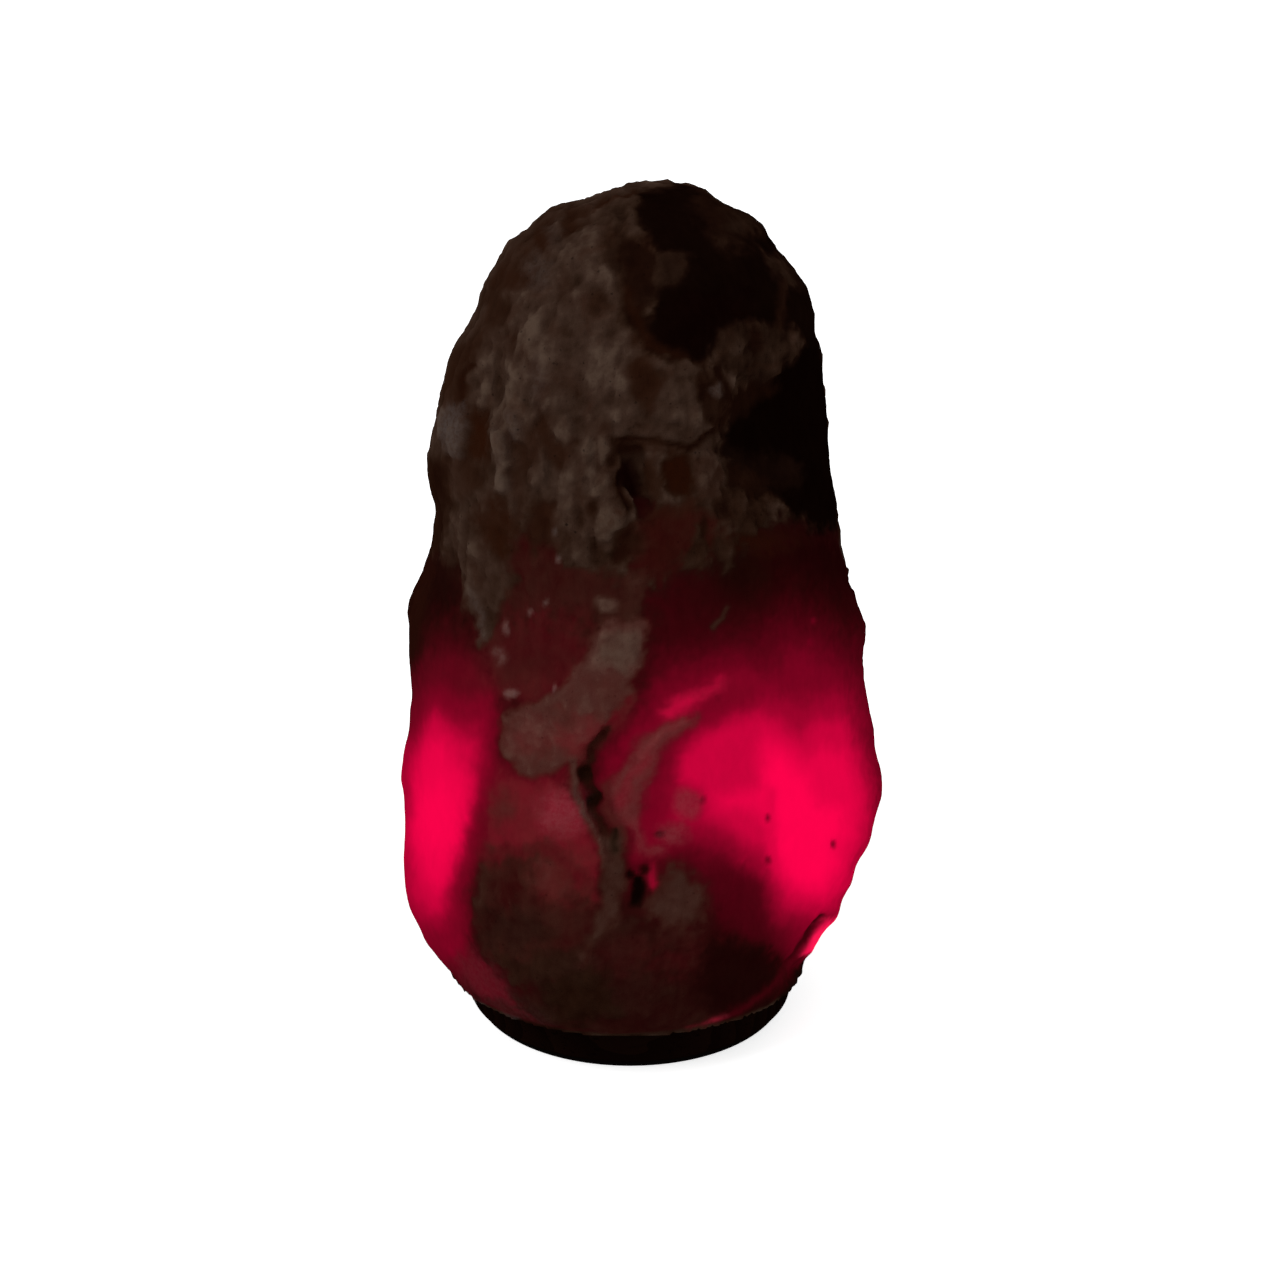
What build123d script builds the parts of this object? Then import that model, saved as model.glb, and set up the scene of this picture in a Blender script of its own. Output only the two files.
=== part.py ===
from build123d import *

import os
from math import cos, pi, radians, sin, tan

# Salt crystal lamp: a drilled block of rock salt screwed to a low turned wooden base. A small
# lamp holder with an LED bulb is pushed up into the bore from below and held by two wire wings.
#
# Millimetres. The origin is on the table, on the axis of the wooden base. +Z is up and -Y is the
# front. The cord would leave towards +Y.

# ---------------------------------------------------------------- driving sizes: base
foot_ring_thickness = 2.0
foot_ring_width = 5.0
foot_ring_chamfer = 0.4
base_diameter = 92.0
base_thickness = 14.0
base_top_fillet = 2.5
base_bottom_chamfer = 1.0
base_recess_diameter = 76.0
base_recess_depth = 8.0
holder_hole_diameter = 38.0
cord_channel_width = 8.0

# ---------------------------------------------------------------- driving sizes: crystal
crystal_height = 220.0
crystal_width = 134.0
crystal_depth = 120.0
bore_diameter = 46.0
bore_straight_depth = 84.0
drill_tip_angle = 118.0

# ---------------------------------------------------------------- driving sizes: base fixings
screw_count = 3
screw_circle_diameter = 66.0
screw_length = 26.0
screw_shank_diameter = 4.0
screw_head_diameter = 8.0
screw_head_angle = 90.0
screw_tip_length = 4.0
screw_drive_width = 1.1
screw_drive_span = 4.4
screw_drive_depth = 1.5
anchor_wall = 1.1
anchor_overrun = 3.0
fit_clearance = 0.05

# ---------------------------------------------------------------- driving sizes: lamp holder
holder_table_gap = 1.0
holder_diameter = 26.0
cap_height = 13.0
cap_wall = 1.6
cap_socket_depth = 4.5
barrel_length = 34.5
barrel_skirt_wall = 1.6
barrel_waist_diameter = 22.0
barrel_rim_chamfer = 0.8
gland_bore_diameter = 6.0
gland_wall = 0.8
gland_reach = 24.0
gland_floor_step = 0.2
clamp_boss_diameter = 4.2
clamp_boss_spacing = 11.6
clamp_offset = 3.0
clamp_bar_thickness = 2.2
clamp_bar_width = 4.0
clamp_screw_diameter = 2.0
clamp_screw_head_diameter = 3.4
clamp_screw_head_height = 1.3
clamp_screw_length = 7.0
terminal_block_height = 8.0
terminal_spacing = 10.4
terminal_screw_length = 6.0
wire_hole_diameter = 3.2
wire_hole_offset = 5.0
terminal_screw_diameter = 2.5
terminal_screw_head_diameter = 4.2
terminal_screw_head_height = 1.4
contact_strip_width = 3.6
contact_strip_thickness = 0.5
contact_tongue_rise = 0.9
contact_tongue_width = 2.4
contact_gap = 0.25

# ---------------------------------------------------------------- driving sizes: screw cap E14
thread_pitch = 2.82
thread_turns = 6
thread_diameter = 13.8
thread_depth = 0.6
thread_clearance = 0.3
shell_skirt_height = 2.9
thread_shell_wall = 0.35
bulb_shell_wall = 0.3

# ---------------------------------------------------------------- driving sizes: spring wings
collar_thickness = 0.8
collar_height = 8.0
collar_below_rim = 3.0
ear_thickness = 0.8
ear_height = 6.0
pin_diameter = 1.8
pin_clearance = 0.1
pin_head_diameter = 3.0
pin_head_thickness = 0.5
wire_diameter = 1.2
wing_width = 4.8
wing_bottom_z = 6.5
wing_eye_length = 2.4
eye_wall_step = 0.1
wing_side_clearance = 0.3
wing_corner_radius = 1.6
wing_wall_gap = 0.45

# ---------------------------------------------------------------- driving sizes: bulb
bulb_rim_gap = 0.6
insulator_height = 2.0
insulator_diameter = 10.3
tip_diameter = 4.8
tip_height = 0.7
tip_stem_diameter = 1.2
tip_stem_length = 2.5
housing_neck_depth = 4.0
housing_neck_wall = 1.2
housing_collar_diameter = 15.8
housing_collar_height = 1.2
housing_flare_height = 11.0
housing_rim_height = 2.4
housing_wall = 1.4
housing_diameter = 26.0
diffuser_height = 28.5
diffuser_wall = 1.2
led_board_thickness = 1.2
led_board_ledge = 1.0
led_chip_size = 2.8
led_chip_height = 0.8
led_ring_diameter = 13.0
led_ring_count = 6
driver_board_width = 9.0
driver_board_height = 15.0
driver_board_drop = 3.5
driver_board_thickness = 1.0
capacitor_diameter = 5.0
capacitor_length = 7.0
choke_diameter = 3.8
choke_length = 4.0
bridge_size = 4.0
bridge_height = 1.8
lead_diameter = 0.8

# ---------------------------------------------------------------- levels that follow from them
base_bottom_z = foot_ring_thickness
base_top_z = base_bottom_z + base_thickness
web_bottom_z = base_bottom_z + base_recess_depth
crystal_top_z = base_top_z + crystal_height

cap_bottom_z = holder_table_gap
cap_top_z = cap_bottom_z + cap_height
barrel_bottom_z = cap_top_z - cap_socket_depth
barrel_top_z = barrel_bottom_z + barrel_length
holder_radius = holder_diameter / 2
cap_inner_radius = holder_radius - cap_wall
skirt_radius = cap_inner_radius - fit_clearance
block_radius = skirt_radius - barrel_skirt_wall - fit_clearance

thread_length = thread_turns * thread_pitch
bulb_seat_z = barrel_top_z + bulb_rim_gap
bulb_cap_bottom_z = bulb_seat_z - thread_length
tip_top_z = bulb_cap_bottom_z - insulator_height
tip_bottom_z = tip_top_z - tip_height
block_top_z = tip_bottom_z - contact_gap - contact_tongue_rise - contact_strip_thickness
block_bottom_z = block_top_z - terminal_block_height
thread_shell_radius = thread_diameter / 2 + thread_clearance + thread_shell_wall
barrel_bore_radius = thread_shell_radius + fit_clearance

gland_radius = gland_bore_diameter / 2 + gland_wall
gland_z = cap_bottom_z + cap_wall + gland_floor_step + gland_bore_diameter / 2
clamp_seat_z = gland_z + gland_bore_diameter / 2
terminal_positions = ((-terminal_spacing / 2, 0), (terminal_spacing / 2, 0))
clamp_positions = (
    (-clamp_boss_spacing / 2, clamp_offset),
    (clamp_boss_spacing / 2, clamp_offset),
)

hinge_z = barrel_top_z - collar_below_rim - collar_height / 2
eye_bore_radius = pin_diameter / 2 + pin_clearance
eye_wire_offset = eye_bore_radius + wire_diameter / 2 + eye_wall_step
eye_radius = eye_wire_offset + wire_diameter / 2
collar_radius = barrel_waist_diameter / 2 + fit_clearance + collar_thickness
hinge_x = collar_radius + wing_side_clearance + eye_radius
wing_bottom_x = holder_hole_diameter / 2 - wing_wall_gap - wire_diameter / 2
ear_offset = wing_width / 2 + wing_eye_length / 2 + wing_side_clearance + ear_thickness / 2

# ================================================================ salt crystal
# Each level: height in percent of the crystal, then eight radii in percent of half the width
# or depth, from the right side (+X) round by the front (-Y), the left and the back.
crystal_levels = [
    (0.0, 70, 86, 92, 87, 78, 80, 82, 74),
    (2.2, 76, 87, 99, 91, 85, 87, 87, 80),
    (6.5, 88, 88, 103, 94, 92, 92, 92, 88),
    (13.5, 97, 96, 104, 96, 96, 95, 95, 95),
    (20.5, 105, 98, 100, 95, 95, 92, 96, 99),
    (29.0, 102, 93, 96, 94, 95, 97, 98, 94),
    (38.0, 97, 92, 93, 89, 91, 95, 96, 90),
    (46.5, 94.5, 88, 90, 86, 91.5, 91, 91, 88),
    (53.5, 87, 86, 86, 80, 81, 84, 89, 85),
    (61.5, 83, 81, 82, 79, 80, 80, 87, 81),
    (69.0, 80, 75, 77, 77, 80, 77, 84, 75),
    (77.5, 77, 70, 72, 72, 74, 73, 77, 74),
    (85.0, 73, 66, 64, 61, 62, 65, 70, 70),
    (91.0, 62, 56, 53, 50, 52, 56, 59, 61),
    (96.0, 47, 43, 39, 35, 36, 40, 44, 47),
    (100.0, 28, 20, 12, 9, 9, 11, 15, 22),
]
# Broken faces: bearing in degrees from +X, height in percent, then the radius of the sphere that
# leaves the face and how deep it bites, both in percent of the crystal's width.
crystal_scoops = [
    (-52, 17, 66, 3.4),
    (-160, 25, 67, 3.0),
    (-46, 80, 58, 4.1),
    (22, 52, 78, 3.4),
    (78, 28, 72, 3.7),
    (126, 64, 66, 3.7),
    (138, 41, 75, 2.6),
    (98, 86, 54, 3.0),
    (-125, 55, 24, 1.1),
    (-64, 56, 27, 1.2),
    (-104, 86, 24, 0.8),
    (-30, 67, 24, 1.1),
    (-143, 83, 22, 0.9),
    (62, 65, 28, 1.6),
    (97, 47, 30, 1.7),
    (48, 86, 26, 1.5),
    (148, 84, 26, 1.4),
    (44, 40, 30, 1.5),
    (108, 11, 30, 1.5),
    (58, 10, 30, 1.4),
    (84, 70, 22, 1.2),
    (150, 12, 28, 1.2),
]
# Lumps that stand proud, in the same measures: the last is how far they stand out.
crystal_lumps = [
    (-98, 67, 13, 1.5),
    (-115, 17, 20, 1.6),
    (-69, 79, 15, 0.6),
    (-92, 52, 14, 1.0),
    (-106, 42, 15, 1.0),
    (72, 53, 20, 0.9),
]
# Worn grooves: the radius of the groove in percent of the crystal's width, then its way down as
# bearing, height and depth, the depth in percent of the width too.
crystal_grooves = [
    (2.2, (-89, 45.5, -0.4), (-96.7, 41.1, 1.6), (-101.6, 36.5, 1.7), (-100.5, 32, 1.7),
     (-97.3, 28.5, 1.5), (-96.2, 23.5, -0.4)),
    (1.3, (-88, 25.5, -0.6), (-87.8, 22.4, 1.9), (-87.8, 19.4, 1.9), (-88, 16.5, -0.6)),
    (2.3, (-91, 76.5, -0.5), (-89, 72.5, 2.2), (-87, 69, 2.3), (-84.5, 64.5, -0.5)),
    (2.6, (-150, 80, -0.4), (-147, 74, 0.9), (-143.5, 68.5, 0.9), (-141, 62, -0.4)),
    (2.6, (-131, 82, -0.4), (-128.5, 75.5, 1.0), (-127, 69, 1.0), (-126, 62, -0.4)),
    (2.4, (-116, 83, -0.4), (-116.5, 77, 0.9), (-115.5, 72, 0.9), (-113, 66, -0.4)),
]


def crystal_outline(radii):
    """The corners of one level, round the base's axis."""
    step = 2 * pi / len(radii)
    return [
        (
            crystal_width / 200 * share * cos(corner * step),
            -crystal_depth / 200 * share * sin(corner * step),
        )
        for corner, share in enumerate(radii)
    ]


def crystal_radius(bearing, height_share):
    """How far the crystal reaches from the axis, at a bearing in degrees and a height share."""
    below = max((row for row in crystal_levels if row[0] <= height_share), key=lambda row: row[0])
    above = min((row for row in crystal_levels if row[0] > height_share), key=lambda row: row[0])
    blend = (height_share - below[0]) / (above[0] - below[0])
    turn = (-bearing % 360) / 45
    corner = int(turn)
    along = turn - corner
    reach = 0.0
    for row, weight in ((below, 1 - blend), (above, blend)):
        radii = row[1:]
        share = radii[corner % 8] * (1 - along) + radii[(corner + 1) % 8] * along
        reach += weight * share
    half = ((crystal_width * cos(radians(bearing))) ** 2
            + (crystal_depth * sin(radians(bearing))) ** 2) ** 0.5 / 2
    return reach / 100 * half


def crystal_place(bearing, height_share, out):
    """The point that lies so far out from the crystal's side, at a bearing and a height share."""
    reach = crystal_radius(bearing, height_share) + out
    return (
        reach * cos(radians(bearing)),
        reach * sin(radians(bearing)),
        base_top_z + crystal_height * height_share / 100,
    )


screw_plane = Plane(origin=(0, 0, web_bottom_z), x_dir=(1, 0, 0), z_dir=(0, 0, -1))
screw_start_angle = -30.0
anchor_radius = screw_shank_diameter / 2 + anchor_wall
anchor_top_z = web_bottom_z + screw_length + anchor_overrun
drill_tip_height = bore_diameter / 2 / tan(radians(drill_tip_angle / 2))

with BuildPart() as salt_crystal:
    for height_share, *radii in crystal_levels:
        with BuildSketch(Plane.XY.offset(base_top_z + crystal_height * height_share / 100)):
            with BuildLine():
                Spline(*crystal_outline(radii), periodic=True)
            make_face()
    loft()
    for bearing, height_share, radius_share, bite_share in crystal_scoops:
        scoop_radius = crystal_width * radius_share / 100
        out = scoop_radius - crystal_width * bite_share / 100
        with Locations(crystal_place(bearing, height_share, out)):
            Sphere(scoop_radius, mode=Mode.SUBTRACT)
    for bearing, height_share, radius_share, proud_share in crystal_lumps:
        lump_radius = crystal_width * radius_share / 100
        out = crystal_width * proud_share / 100 - lump_radius
        with Locations(crystal_place(bearing, height_share, out)):
            Sphere(lump_radius)
    for radius_share, *stops in crystal_grooves:
        groove_radius = crystal_width * radius_share / 100
        with BuildLine(mode=Mode.PRIVATE) as groove_path:
            Spline(*(
                crystal_place(bearing, height_share, groove_radius - crystal_width * depth / 100)
                for bearing, height_share, depth in stops
            ))
        groove_line = groove_path.wires()[0]
        with BuildSketch(Plane(origin=groove_line @ 0, z_dir=groove_line % 0)):
            Circle(groove_radius)
        sweep(path=groove_line, mode=Mode.SUBTRACT)
    with BuildSketch(Plane.XY.offset(base_top_z)):
        Circle(bore_diameter / 2)
    extrude(amount=bore_straight_depth, mode=Mode.SUBTRACT)
    with Locations((0, 0, base_top_z + bore_straight_depth)):
        Cone(
            bore_diameter / 2,
            0,
            drill_tip_height,
            align=(Align.CENTER, Align.CENTER, Align.MIN),
            mode=Mode.SUBTRACT,
        )
    with BuildSketch(Plane.XY.offset(base_top_z)):
        with PolarLocations(screw_circle_diameter / 2, screw_count, start_angle=-screw_start_angle):
            Circle(anchor_radius + fit_clearance)
    extrude(amount=anchor_top_z - base_top_z, mode=Mode.SUBTRACT)

# ================================================================ wooden base
with BuildPart() as wood_base:
    with BuildSketch(Plane.XY.offset(base_bottom_z)):
        Circle(base_diameter / 2)
    extrude(amount=base_thickness)
    fillet(wood_base.edges().sort_by(Axis.Z)[-1], base_top_fillet)
    chamfer(wood_base.edges().sort_by(Axis.Z)[0], base_bottom_chamfer)
    with BuildSketch(Plane.XY.offset(base_bottom_z)):
        Circle(base_recess_diameter / 2)
    extrude(amount=base_recess_depth, mode=Mode.SUBTRACT)
    with BuildSketch(Plane.XY.offset(base_bottom_z)):
        with Locations((0, base_diameter / 2)):
            Rectangle(cord_channel_width, base_diameter - base_recess_diameter + cord_channel_width)
    extrude(amount=base_recess_depth, mode=Mode.SUBTRACT)
    with BuildSketch(Plane.XY.offset(web_bottom_z)):
        Circle(holder_hole_diameter / 2)
    extrude(amount=base_thickness, mode=Mode.SUBTRACT)
    with Locations(screw_plane):
        with PolarLocations(screw_circle_diameter / 2, screw_count, start_angle=screw_start_angle):
            CounterSinkHole(
                screw_shank_diameter / 2 + fit_clearance,
                screw_head_diameter / 2,
                counter_sink_angle=screw_head_angle,
            )

with BuildPart() as foot_ring:
    foot_ring_radius = (base_diameter - 2 * base_bottom_chamfer + base_recess_diameter) / 4
    with BuildSketch():
        Circle(foot_ring_radius + foot_ring_width / 2)
        Circle(foot_ring_radius - foot_ring_width / 2, mode=Mode.SUBTRACT)
        with Locations((0, foot_ring_radius)):
            Rectangle(cord_channel_width, 2 * foot_ring_width, mode=Mode.SUBTRACT)
    extrude(amount=foot_ring_thickness)
    chamfer(foot_ring.faces().sort_by(Axis.Z)[0].edges(), foot_ring_chamfer)

# ================================================================ screws and anchors of the base
screw_head_height = (screw_head_diameter - screw_shank_diameter) / 2 / tan(radians(screw_head_angle / 2))

with BuildPart() as screw_blank:
    # Drawn with its head's flat face at the origin and its tip along -Z.
    with BuildSketch(Plane.XZ):
        with BuildLine():
            Polyline(
                (0, 0),
                (screw_head_diameter / 2, 0),
                (screw_shank_diameter / 2, -screw_head_height),
                (screw_shank_diameter / 2, -screw_length + screw_tip_length),
                (screw_shank_diameter / 8, -screw_length),
                (0, -screw_length),
                close=True,
            )
        make_face()
    revolve(axis=Axis.Z)
    for slot_angle in (0, 90):
        with Locations(Location((0, 0, 0), (0, 0, slot_angle))):
            Box(screw_drive_span, screw_drive_width, 2 * screw_drive_depth, mode=Mode.SUBTRACT)

with BuildPart() as base_screws:
    with Locations(screw_plane):
        with PolarLocations(screw_circle_diameter / 2, screw_count, start_angle=screw_start_angle):
            add(screw_blank.part)

with BuildPart() as crystal_anchors:
    with BuildSketch(Plane.XY.offset(base_top_z)):
        with PolarLocations(screw_circle_diameter / 2, screw_count, start_angle=-screw_start_angle):
            Circle(anchor_radius)
            Circle(screw_shank_diameter / 2 + fit_clearance, mode=Mode.SUBTRACT)
    extrude(amount=anchor_top_z - base_top_z)

# ================================================================ lamp holder
with BuildPart() as holder_cap:
    with BuildSketch(Plane.XY.offset(cap_bottom_z)):
        Circle(holder_radius)
    extrude(amount=cap_height)
    chamfer(holder_cap.edges().sort_by(Axis.Z)[0], cap_wall / 2)
    with BuildSketch(Plane.XY.offset(cap_bottom_z + cap_wall)):
        Circle(cap_inner_radius)
    extrude(amount=cap_height, mode=Mode.SUBTRACT)
    with BuildSketch(Plane.XY.offset(cap_bottom_z + cap_wall)):
        with Locations(*clamp_positions):
            Circle(clamp_boss_diameter / 2)
    extrude(amount=clamp_seat_z - cap_bottom_z - cap_wall)
    with BuildSketch(Plane.XY.offset(clamp_seat_z)):
        with Locations(*clamp_positions):
            Circle(clamp_screw_diameter / 2)
    extrude(amount=clamp_bar_thickness - clamp_screw_length - fit_clearance, mode=Mode.SUBTRACT)
    with BuildSketch(Plane.XZ.offset(-cap_inner_radius)):
        with Locations((0, gland_z)):
            Circle(gland_radius)
    extrude(amount=-(gland_reach - cap_inner_radius))
    with BuildSketch(Plane.XZ.offset(-gland_reach)):
        with Locations((0, gland_z)):
            Circle(gland_bore_diameter / 2)
    extrude(amount=gland_reach - clamp_offset - clamp_bar_width, mode=Mode.SUBTRACT)

with BuildPart() as holder_barrel:
    with BuildSketch(Plane.XZ):
        with BuildLine():
            Polyline(
                (skirt_radius - barrel_skirt_wall, barrel_bottom_z),
                (skirt_radius, barrel_bottom_z),
                (skirt_radius, cap_top_z),
                (holder_radius, cap_top_z),
                (holder_radius, block_top_z + barrel_skirt_wall),
                (barrel_waist_diameter / 2, hinge_z - collar_height),
                (barrel_waist_diameter / 2, barrel_top_z - barrel_rim_chamfer),
                (barrel_waist_diameter / 2 - barrel_rim_chamfer, barrel_top_z),
                (barrel_bore_radius, barrel_top_z),
                (barrel_bore_radius, block_top_z),
                (skirt_radius - barrel_skirt_wall, block_top_z),
                close=True,
            )
        make_face()
    revolve(axis=Axis.Z)

with BuildPart() as cord_clamp:
    with BuildSketch(Plane.XY.offset(clamp_seat_z)):
        with Locations((0, clamp_offset)):
            SlotCenterToCenter(clamp_boss_spacing, clamp_bar_width)
        with Locations(*clamp_positions):
            Circle(clamp_screw_diameter / 2 + fit_clearance, mode=Mode.SUBTRACT)
    extrude(amount=clamp_bar_thickness)

with BuildPart() as cord_clamp_screws:
    with BuildSketch(Plane.XY.offset(clamp_seat_z + clamp_bar_thickness)):
        with Locations(*clamp_positions):
            Circle(clamp_screw_head_diameter / 2)
    extrude(amount=clamp_screw_head_height)
    fillet(cord_clamp_screws.edges().group_by(Axis.Z)[-1], clamp_screw_head_height / 3)
    with BuildSketch(Plane.XY.offset(clamp_seat_z + clamp_bar_thickness)):
        with Locations(*clamp_positions):
            Circle(clamp_screw_diameter / 2)
    extrude(amount=-clamp_screw_length)
    with BuildSketch(Plane.XY.offset(clamp_seat_z + clamp_bar_thickness + clamp_screw_head_height)):
        with Locations(*clamp_positions):
            Rectangle(clamp_screw_head_diameter, clamp_screw_diameter / 4)
    extrude(amount=-clamp_screw_head_height / 2, mode=Mode.SUBTRACT)

with BuildPart() as terminal_block:
    with BuildSketch(Plane.XY.offset(block_bottom_z)):
        Circle(block_radius)
        with Locations((0, wire_hole_offset)):
            with GridLocations(terminal_spacing, 0, 2, 1):
                Circle(wire_hole_diameter / 2, mode=Mode.SUBTRACT)
    extrude(amount=terminal_block_height)
    with BuildSketch(Plane.XY.offset(block_top_z)):
        with Locations(*terminal_positions):
            Circle(terminal_screw_diameter / 2)
    extrude(amount=contact_strip_thickness - terminal_screw_length - fit_clearance, mode=Mode.SUBTRACT)

with BuildPart() as terminal_screws:
    with BuildSketch(Plane.XY.offset(block_top_z + contact_strip_thickness)):
        with Locations(*terminal_positions):
            Circle(terminal_screw_head_diameter / 2)
    extrude(amount=terminal_screw_head_height)
    fillet(terminal_screws.edges().group_by(Axis.Z)[-1], terminal_screw_head_height / 3)
    with BuildSketch(Plane.XY.offset(block_top_z + contact_strip_thickness)):
        with Locations(*terminal_positions):
            Circle(terminal_screw_diameter / 2)
    extrude(amount=-terminal_screw_length)
    with BuildSketch(
        Plane.XY.offset(block_top_z + contact_strip_thickness + terminal_screw_head_height)
    ):
        with Locations(*terminal_positions):
            Rectangle(terminal_screw_head_diameter, terminal_screw_diameter / 4)
    extrude(amount=-terminal_screw_head_height / 2, mode=Mode.SUBTRACT)

with BuildPart() as centre_contact:
    # A sprung strip under the left terminal screw, bent up below the bulb's tip.
    outer_end = -terminal_spacing / 2 - terminal_screw_diameter / 2 - contact_strip_thickness
    tongue_end = tip_diameter / 4
    bend_start = (
        (terminal_screw_head_diameter - terminal_spacing + contact_strip_thickness) / 2
    )
    with BuildSketch(Plane.XZ):
        with BuildLine():
            Polyline(
                (outer_end, block_top_z),
                (bend_start, block_top_z),
                (-tongue_end, block_top_z + contact_tongue_rise),
                (tongue_end, block_top_z + contact_tongue_rise),
                (tongue_end, block_top_z + contact_tongue_rise + contact_strip_thickness),
                (
                    -tongue_end - contact_strip_thickness / 3,
                    block_top_z + contact_tongue_rise + contact_strip_thickness,
                ),
                (bend_start - contact_strip_thickness / 3, block_top_z + contact_strip_thickness),
                (outer_end, block_top_z + contact_strip_thickness),
                close=True,
            )
        make_face()
    extrude(amount=contact_strip_width / 2, both=True)
    with BuildSketch(Plane.XY.offset(block_top_z)):
        with Locations(terminal_positions[0]):
            Circle(terminal_screw_diameter / 2 + fit_clearance)
    extrude(amount=contact_strip_thickness, mode=Mode.SUBTRACT)

shell_bottom_z = bulb_cap_bottom_z + thread_pitch / 2 - shell_skirt_height
shell_mid_radius = thread_diameter / 2 - thread_depth / 2 + thread_clearance

with BuildPart() as side_contact:
    # A part ring under the right terminal screw, with a tongue up to the thread shell.
    with BuildSketch(Plane.XY.offset(block_top_z)):
        Circle(barrel_bore_radius - 3 * fit_clearance)
        Circle(barrel_bore_radius - contact_strip_width / 2, mode=Mode.SUBTRACT)
        with Locations((-barrel_bore_radius, 0)):
            Rectangle(2 * barrel_bore_radius, 3 * barrel_bore_radius, mode=Mode.SUBTRACT)
        with Locations(terminal_positions[1]):
            Circle(terminal_screw_head_diameter / 2)
            Circle(terminal_screw_diameter / 2 + fit_clearance, mode=Mode.SUBTRACT)
    extrude(amount=contact_strip_thickness)
    with BuildSketch(Plane.XY.offset(block_top_z)):
        with Locations((contact_tongue_width / 2, barrel_bore_radius - contact_strip_width / 2)):
            Rectangle(contact_tongue_width, contact_strip_width / 2)
        Circle(barrel_bore_radius - 3 * fit_clearance, mode=Mode.INTERSECT)
        Circle(shell_mid_radius, mode=Mode.SUBTRACT)
    extrude(amount=shell_bottom_z - block_top_z)


# Rounded screw-cap threads are drawn as stacked rings, so that the bulb turns freely.
def thread_wave(mid_radius, bottom_z, turns, first):
    """A wavy profile up from bottom_z, with a crest first (1) or a root first (-1)."""
    quarter = thread_pitch / 4
    for half_turn in range(round(2 * turns)):
        start = bottom_z + 2 * half_turn * quarter
        swing = first * (-1) ** half_turn * thread_depth / 2
        ThreePointArc(
            (mid_radius, start),
            (mid_radius + swing, start + quarter),
            (mid_radius, start + 2 * quarter),
        )


with BuildPart() as thread_shell:
    skirt_top_z = bulb_cap_bottom_z + thread_pitch / 2
    shell_turns = thread_turns - 1.5
    wave_top_z = skirt_top_z + shell_turns * thread_pitch
    shell_top_z = barrel_top_z - barrel_rim_chamfer
    outer_mid_radius = shell_mid_radius + thread_shell_wall
    with BuildSketch(Plane.XZ):
        with BuildLine():
            Polyline(
                (shell_mid_radius, skirt_top_z),
                (shell_mid_radius, shell_bottom_z),
                (outer_mid_radius, shell_bottom_z),
                (outer_mid_radius, skirt_top_z),
            )
            thread_wave(outer_mid_radius, skirt_top_z, shell_turns, -1)
            Polyline(
                (outer_mid_radius, wave_top_z),
                (outer_mid_radius, shell_top_z),
                (shell_mid_radius, shell_top_z),
                (shell_mid_radius, wave_top_z),
            )
            thread_wave(shell_mid_radius, skirt_top_z, shell_turns, -1)
        make_face()
    revolve(axis=Axis.Z)

# ================================================================ spring wings
with BuildPart() as clip_collar:
    with BuildSketch(Plane.XY.offset(hinge_z - collar_height / 2)):
        Circle(collar_radius)
        Circle(collar_radius - collar_thickness, mode=Mode.SUBTRACT)
    extrude(amount=collar_height)
    ear_root = collar_radius - 1.4 * collar_thickness
    for side in (-1, 1):
        for face in (-1, 1):
            ear_plane = Plane(
                origin=(0, face * ear_offset, hinge_z), x_dir=(side, 0, 0), z_dir=(0, -side, 0)
            )
            with BuildSketch(ear_plane):
                with Locations(((ear_root + hinge_x) / 2, 0)):
                    Rectangle(hinge_x - ear_root, ear_height)
                with Locations((hinge_x, 0)):
                    Circle(ear_height / 2)
                    Circle(pin_diameter / 2 + fit_clearance, mode=Mode.SUBTRACT)
            extrude(amount=ear_thickness / 2, both=True)

with BuildPart() as clip_pins:
    pin_half_length = ear_offset + ear_thickness / 2
    with BuildSketch(Plane.XZ):
        with Locations((-hinge_x, hinge_z), (hinge_x, hinge_z)):
            Circle(pin_diameter / 2)
    extrude(amount=pin_half_length + pin_head_thickness, both=True)
    for pin_end in (-1, 1):
        with BuildSketch(Plane.XZ.offset(pin_end * pin_half_length)):
            with Locations((-hinge_x, hinge_z), (hinge_x, hinge_z)):
                Circle(pin_head_diameter / 2)
        extrude(amount=pin_end * pin_head_thickness)


def build_wing(side):
    """One wire wing on its pin: side is 1 for the right (+X) and -1 for the left."""
    top = (side * (hinge_x + eye_wire_offset), 0, hinge_z)
    drop = hinge_z - wing_bottom_z
    lean = wing_bottom_x - hinge_x - eye_wire_offset
    slant = (lean * lean + drop * drop) ** 0.5
    wing_plane = Plane(origin=top, x_dir=(0, 1, 0), z_dir=(drop, 0, side * lean))
    with BuildPart() as wing:
        with BuildLine(wing_plane) as wing_line:
            FilletPolyline(
                (wing_width / 2, 0),
                (wing_width / 2, -slant),
                (-wing_width / 2, -slant),
                (-wing_width / 2, 0),
                radius=wing_corner_radius,
            )
        loop = wing_line.wires()[0]
        with BuildSketch(Plane(origin=loop @ 0, z_dir=loop % 0)):
            Circle(wire_diameter / 2)
        sweep(path=loop)
        for leg in (-1, 1):
            with BuildSketch(Plane.XZ.offset(-leg * wing_width / 2)):
                with Locations((side * hinge_x, hinge_z)):
                    Circle(eye_radius)
            extrude(amount=wing_eye_length / 2, both=True)
        with BuildSketch(Plane.XZ):
            with Locations((side * hinge_x, hinge_z)):
                Circle(eye_bore_radius)
        extrude(amount=wing_width, both=True, mode=Mode.SUBTRACT)
    return wing


clip_left = build_wing(-1)
clip_right = build_wing(1)

# ================================================================ bulb
bulb_mid_radius = thread_diameter / 2 - thread_depth / 2
insulator_radius = insulator_diameter / 2

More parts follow.
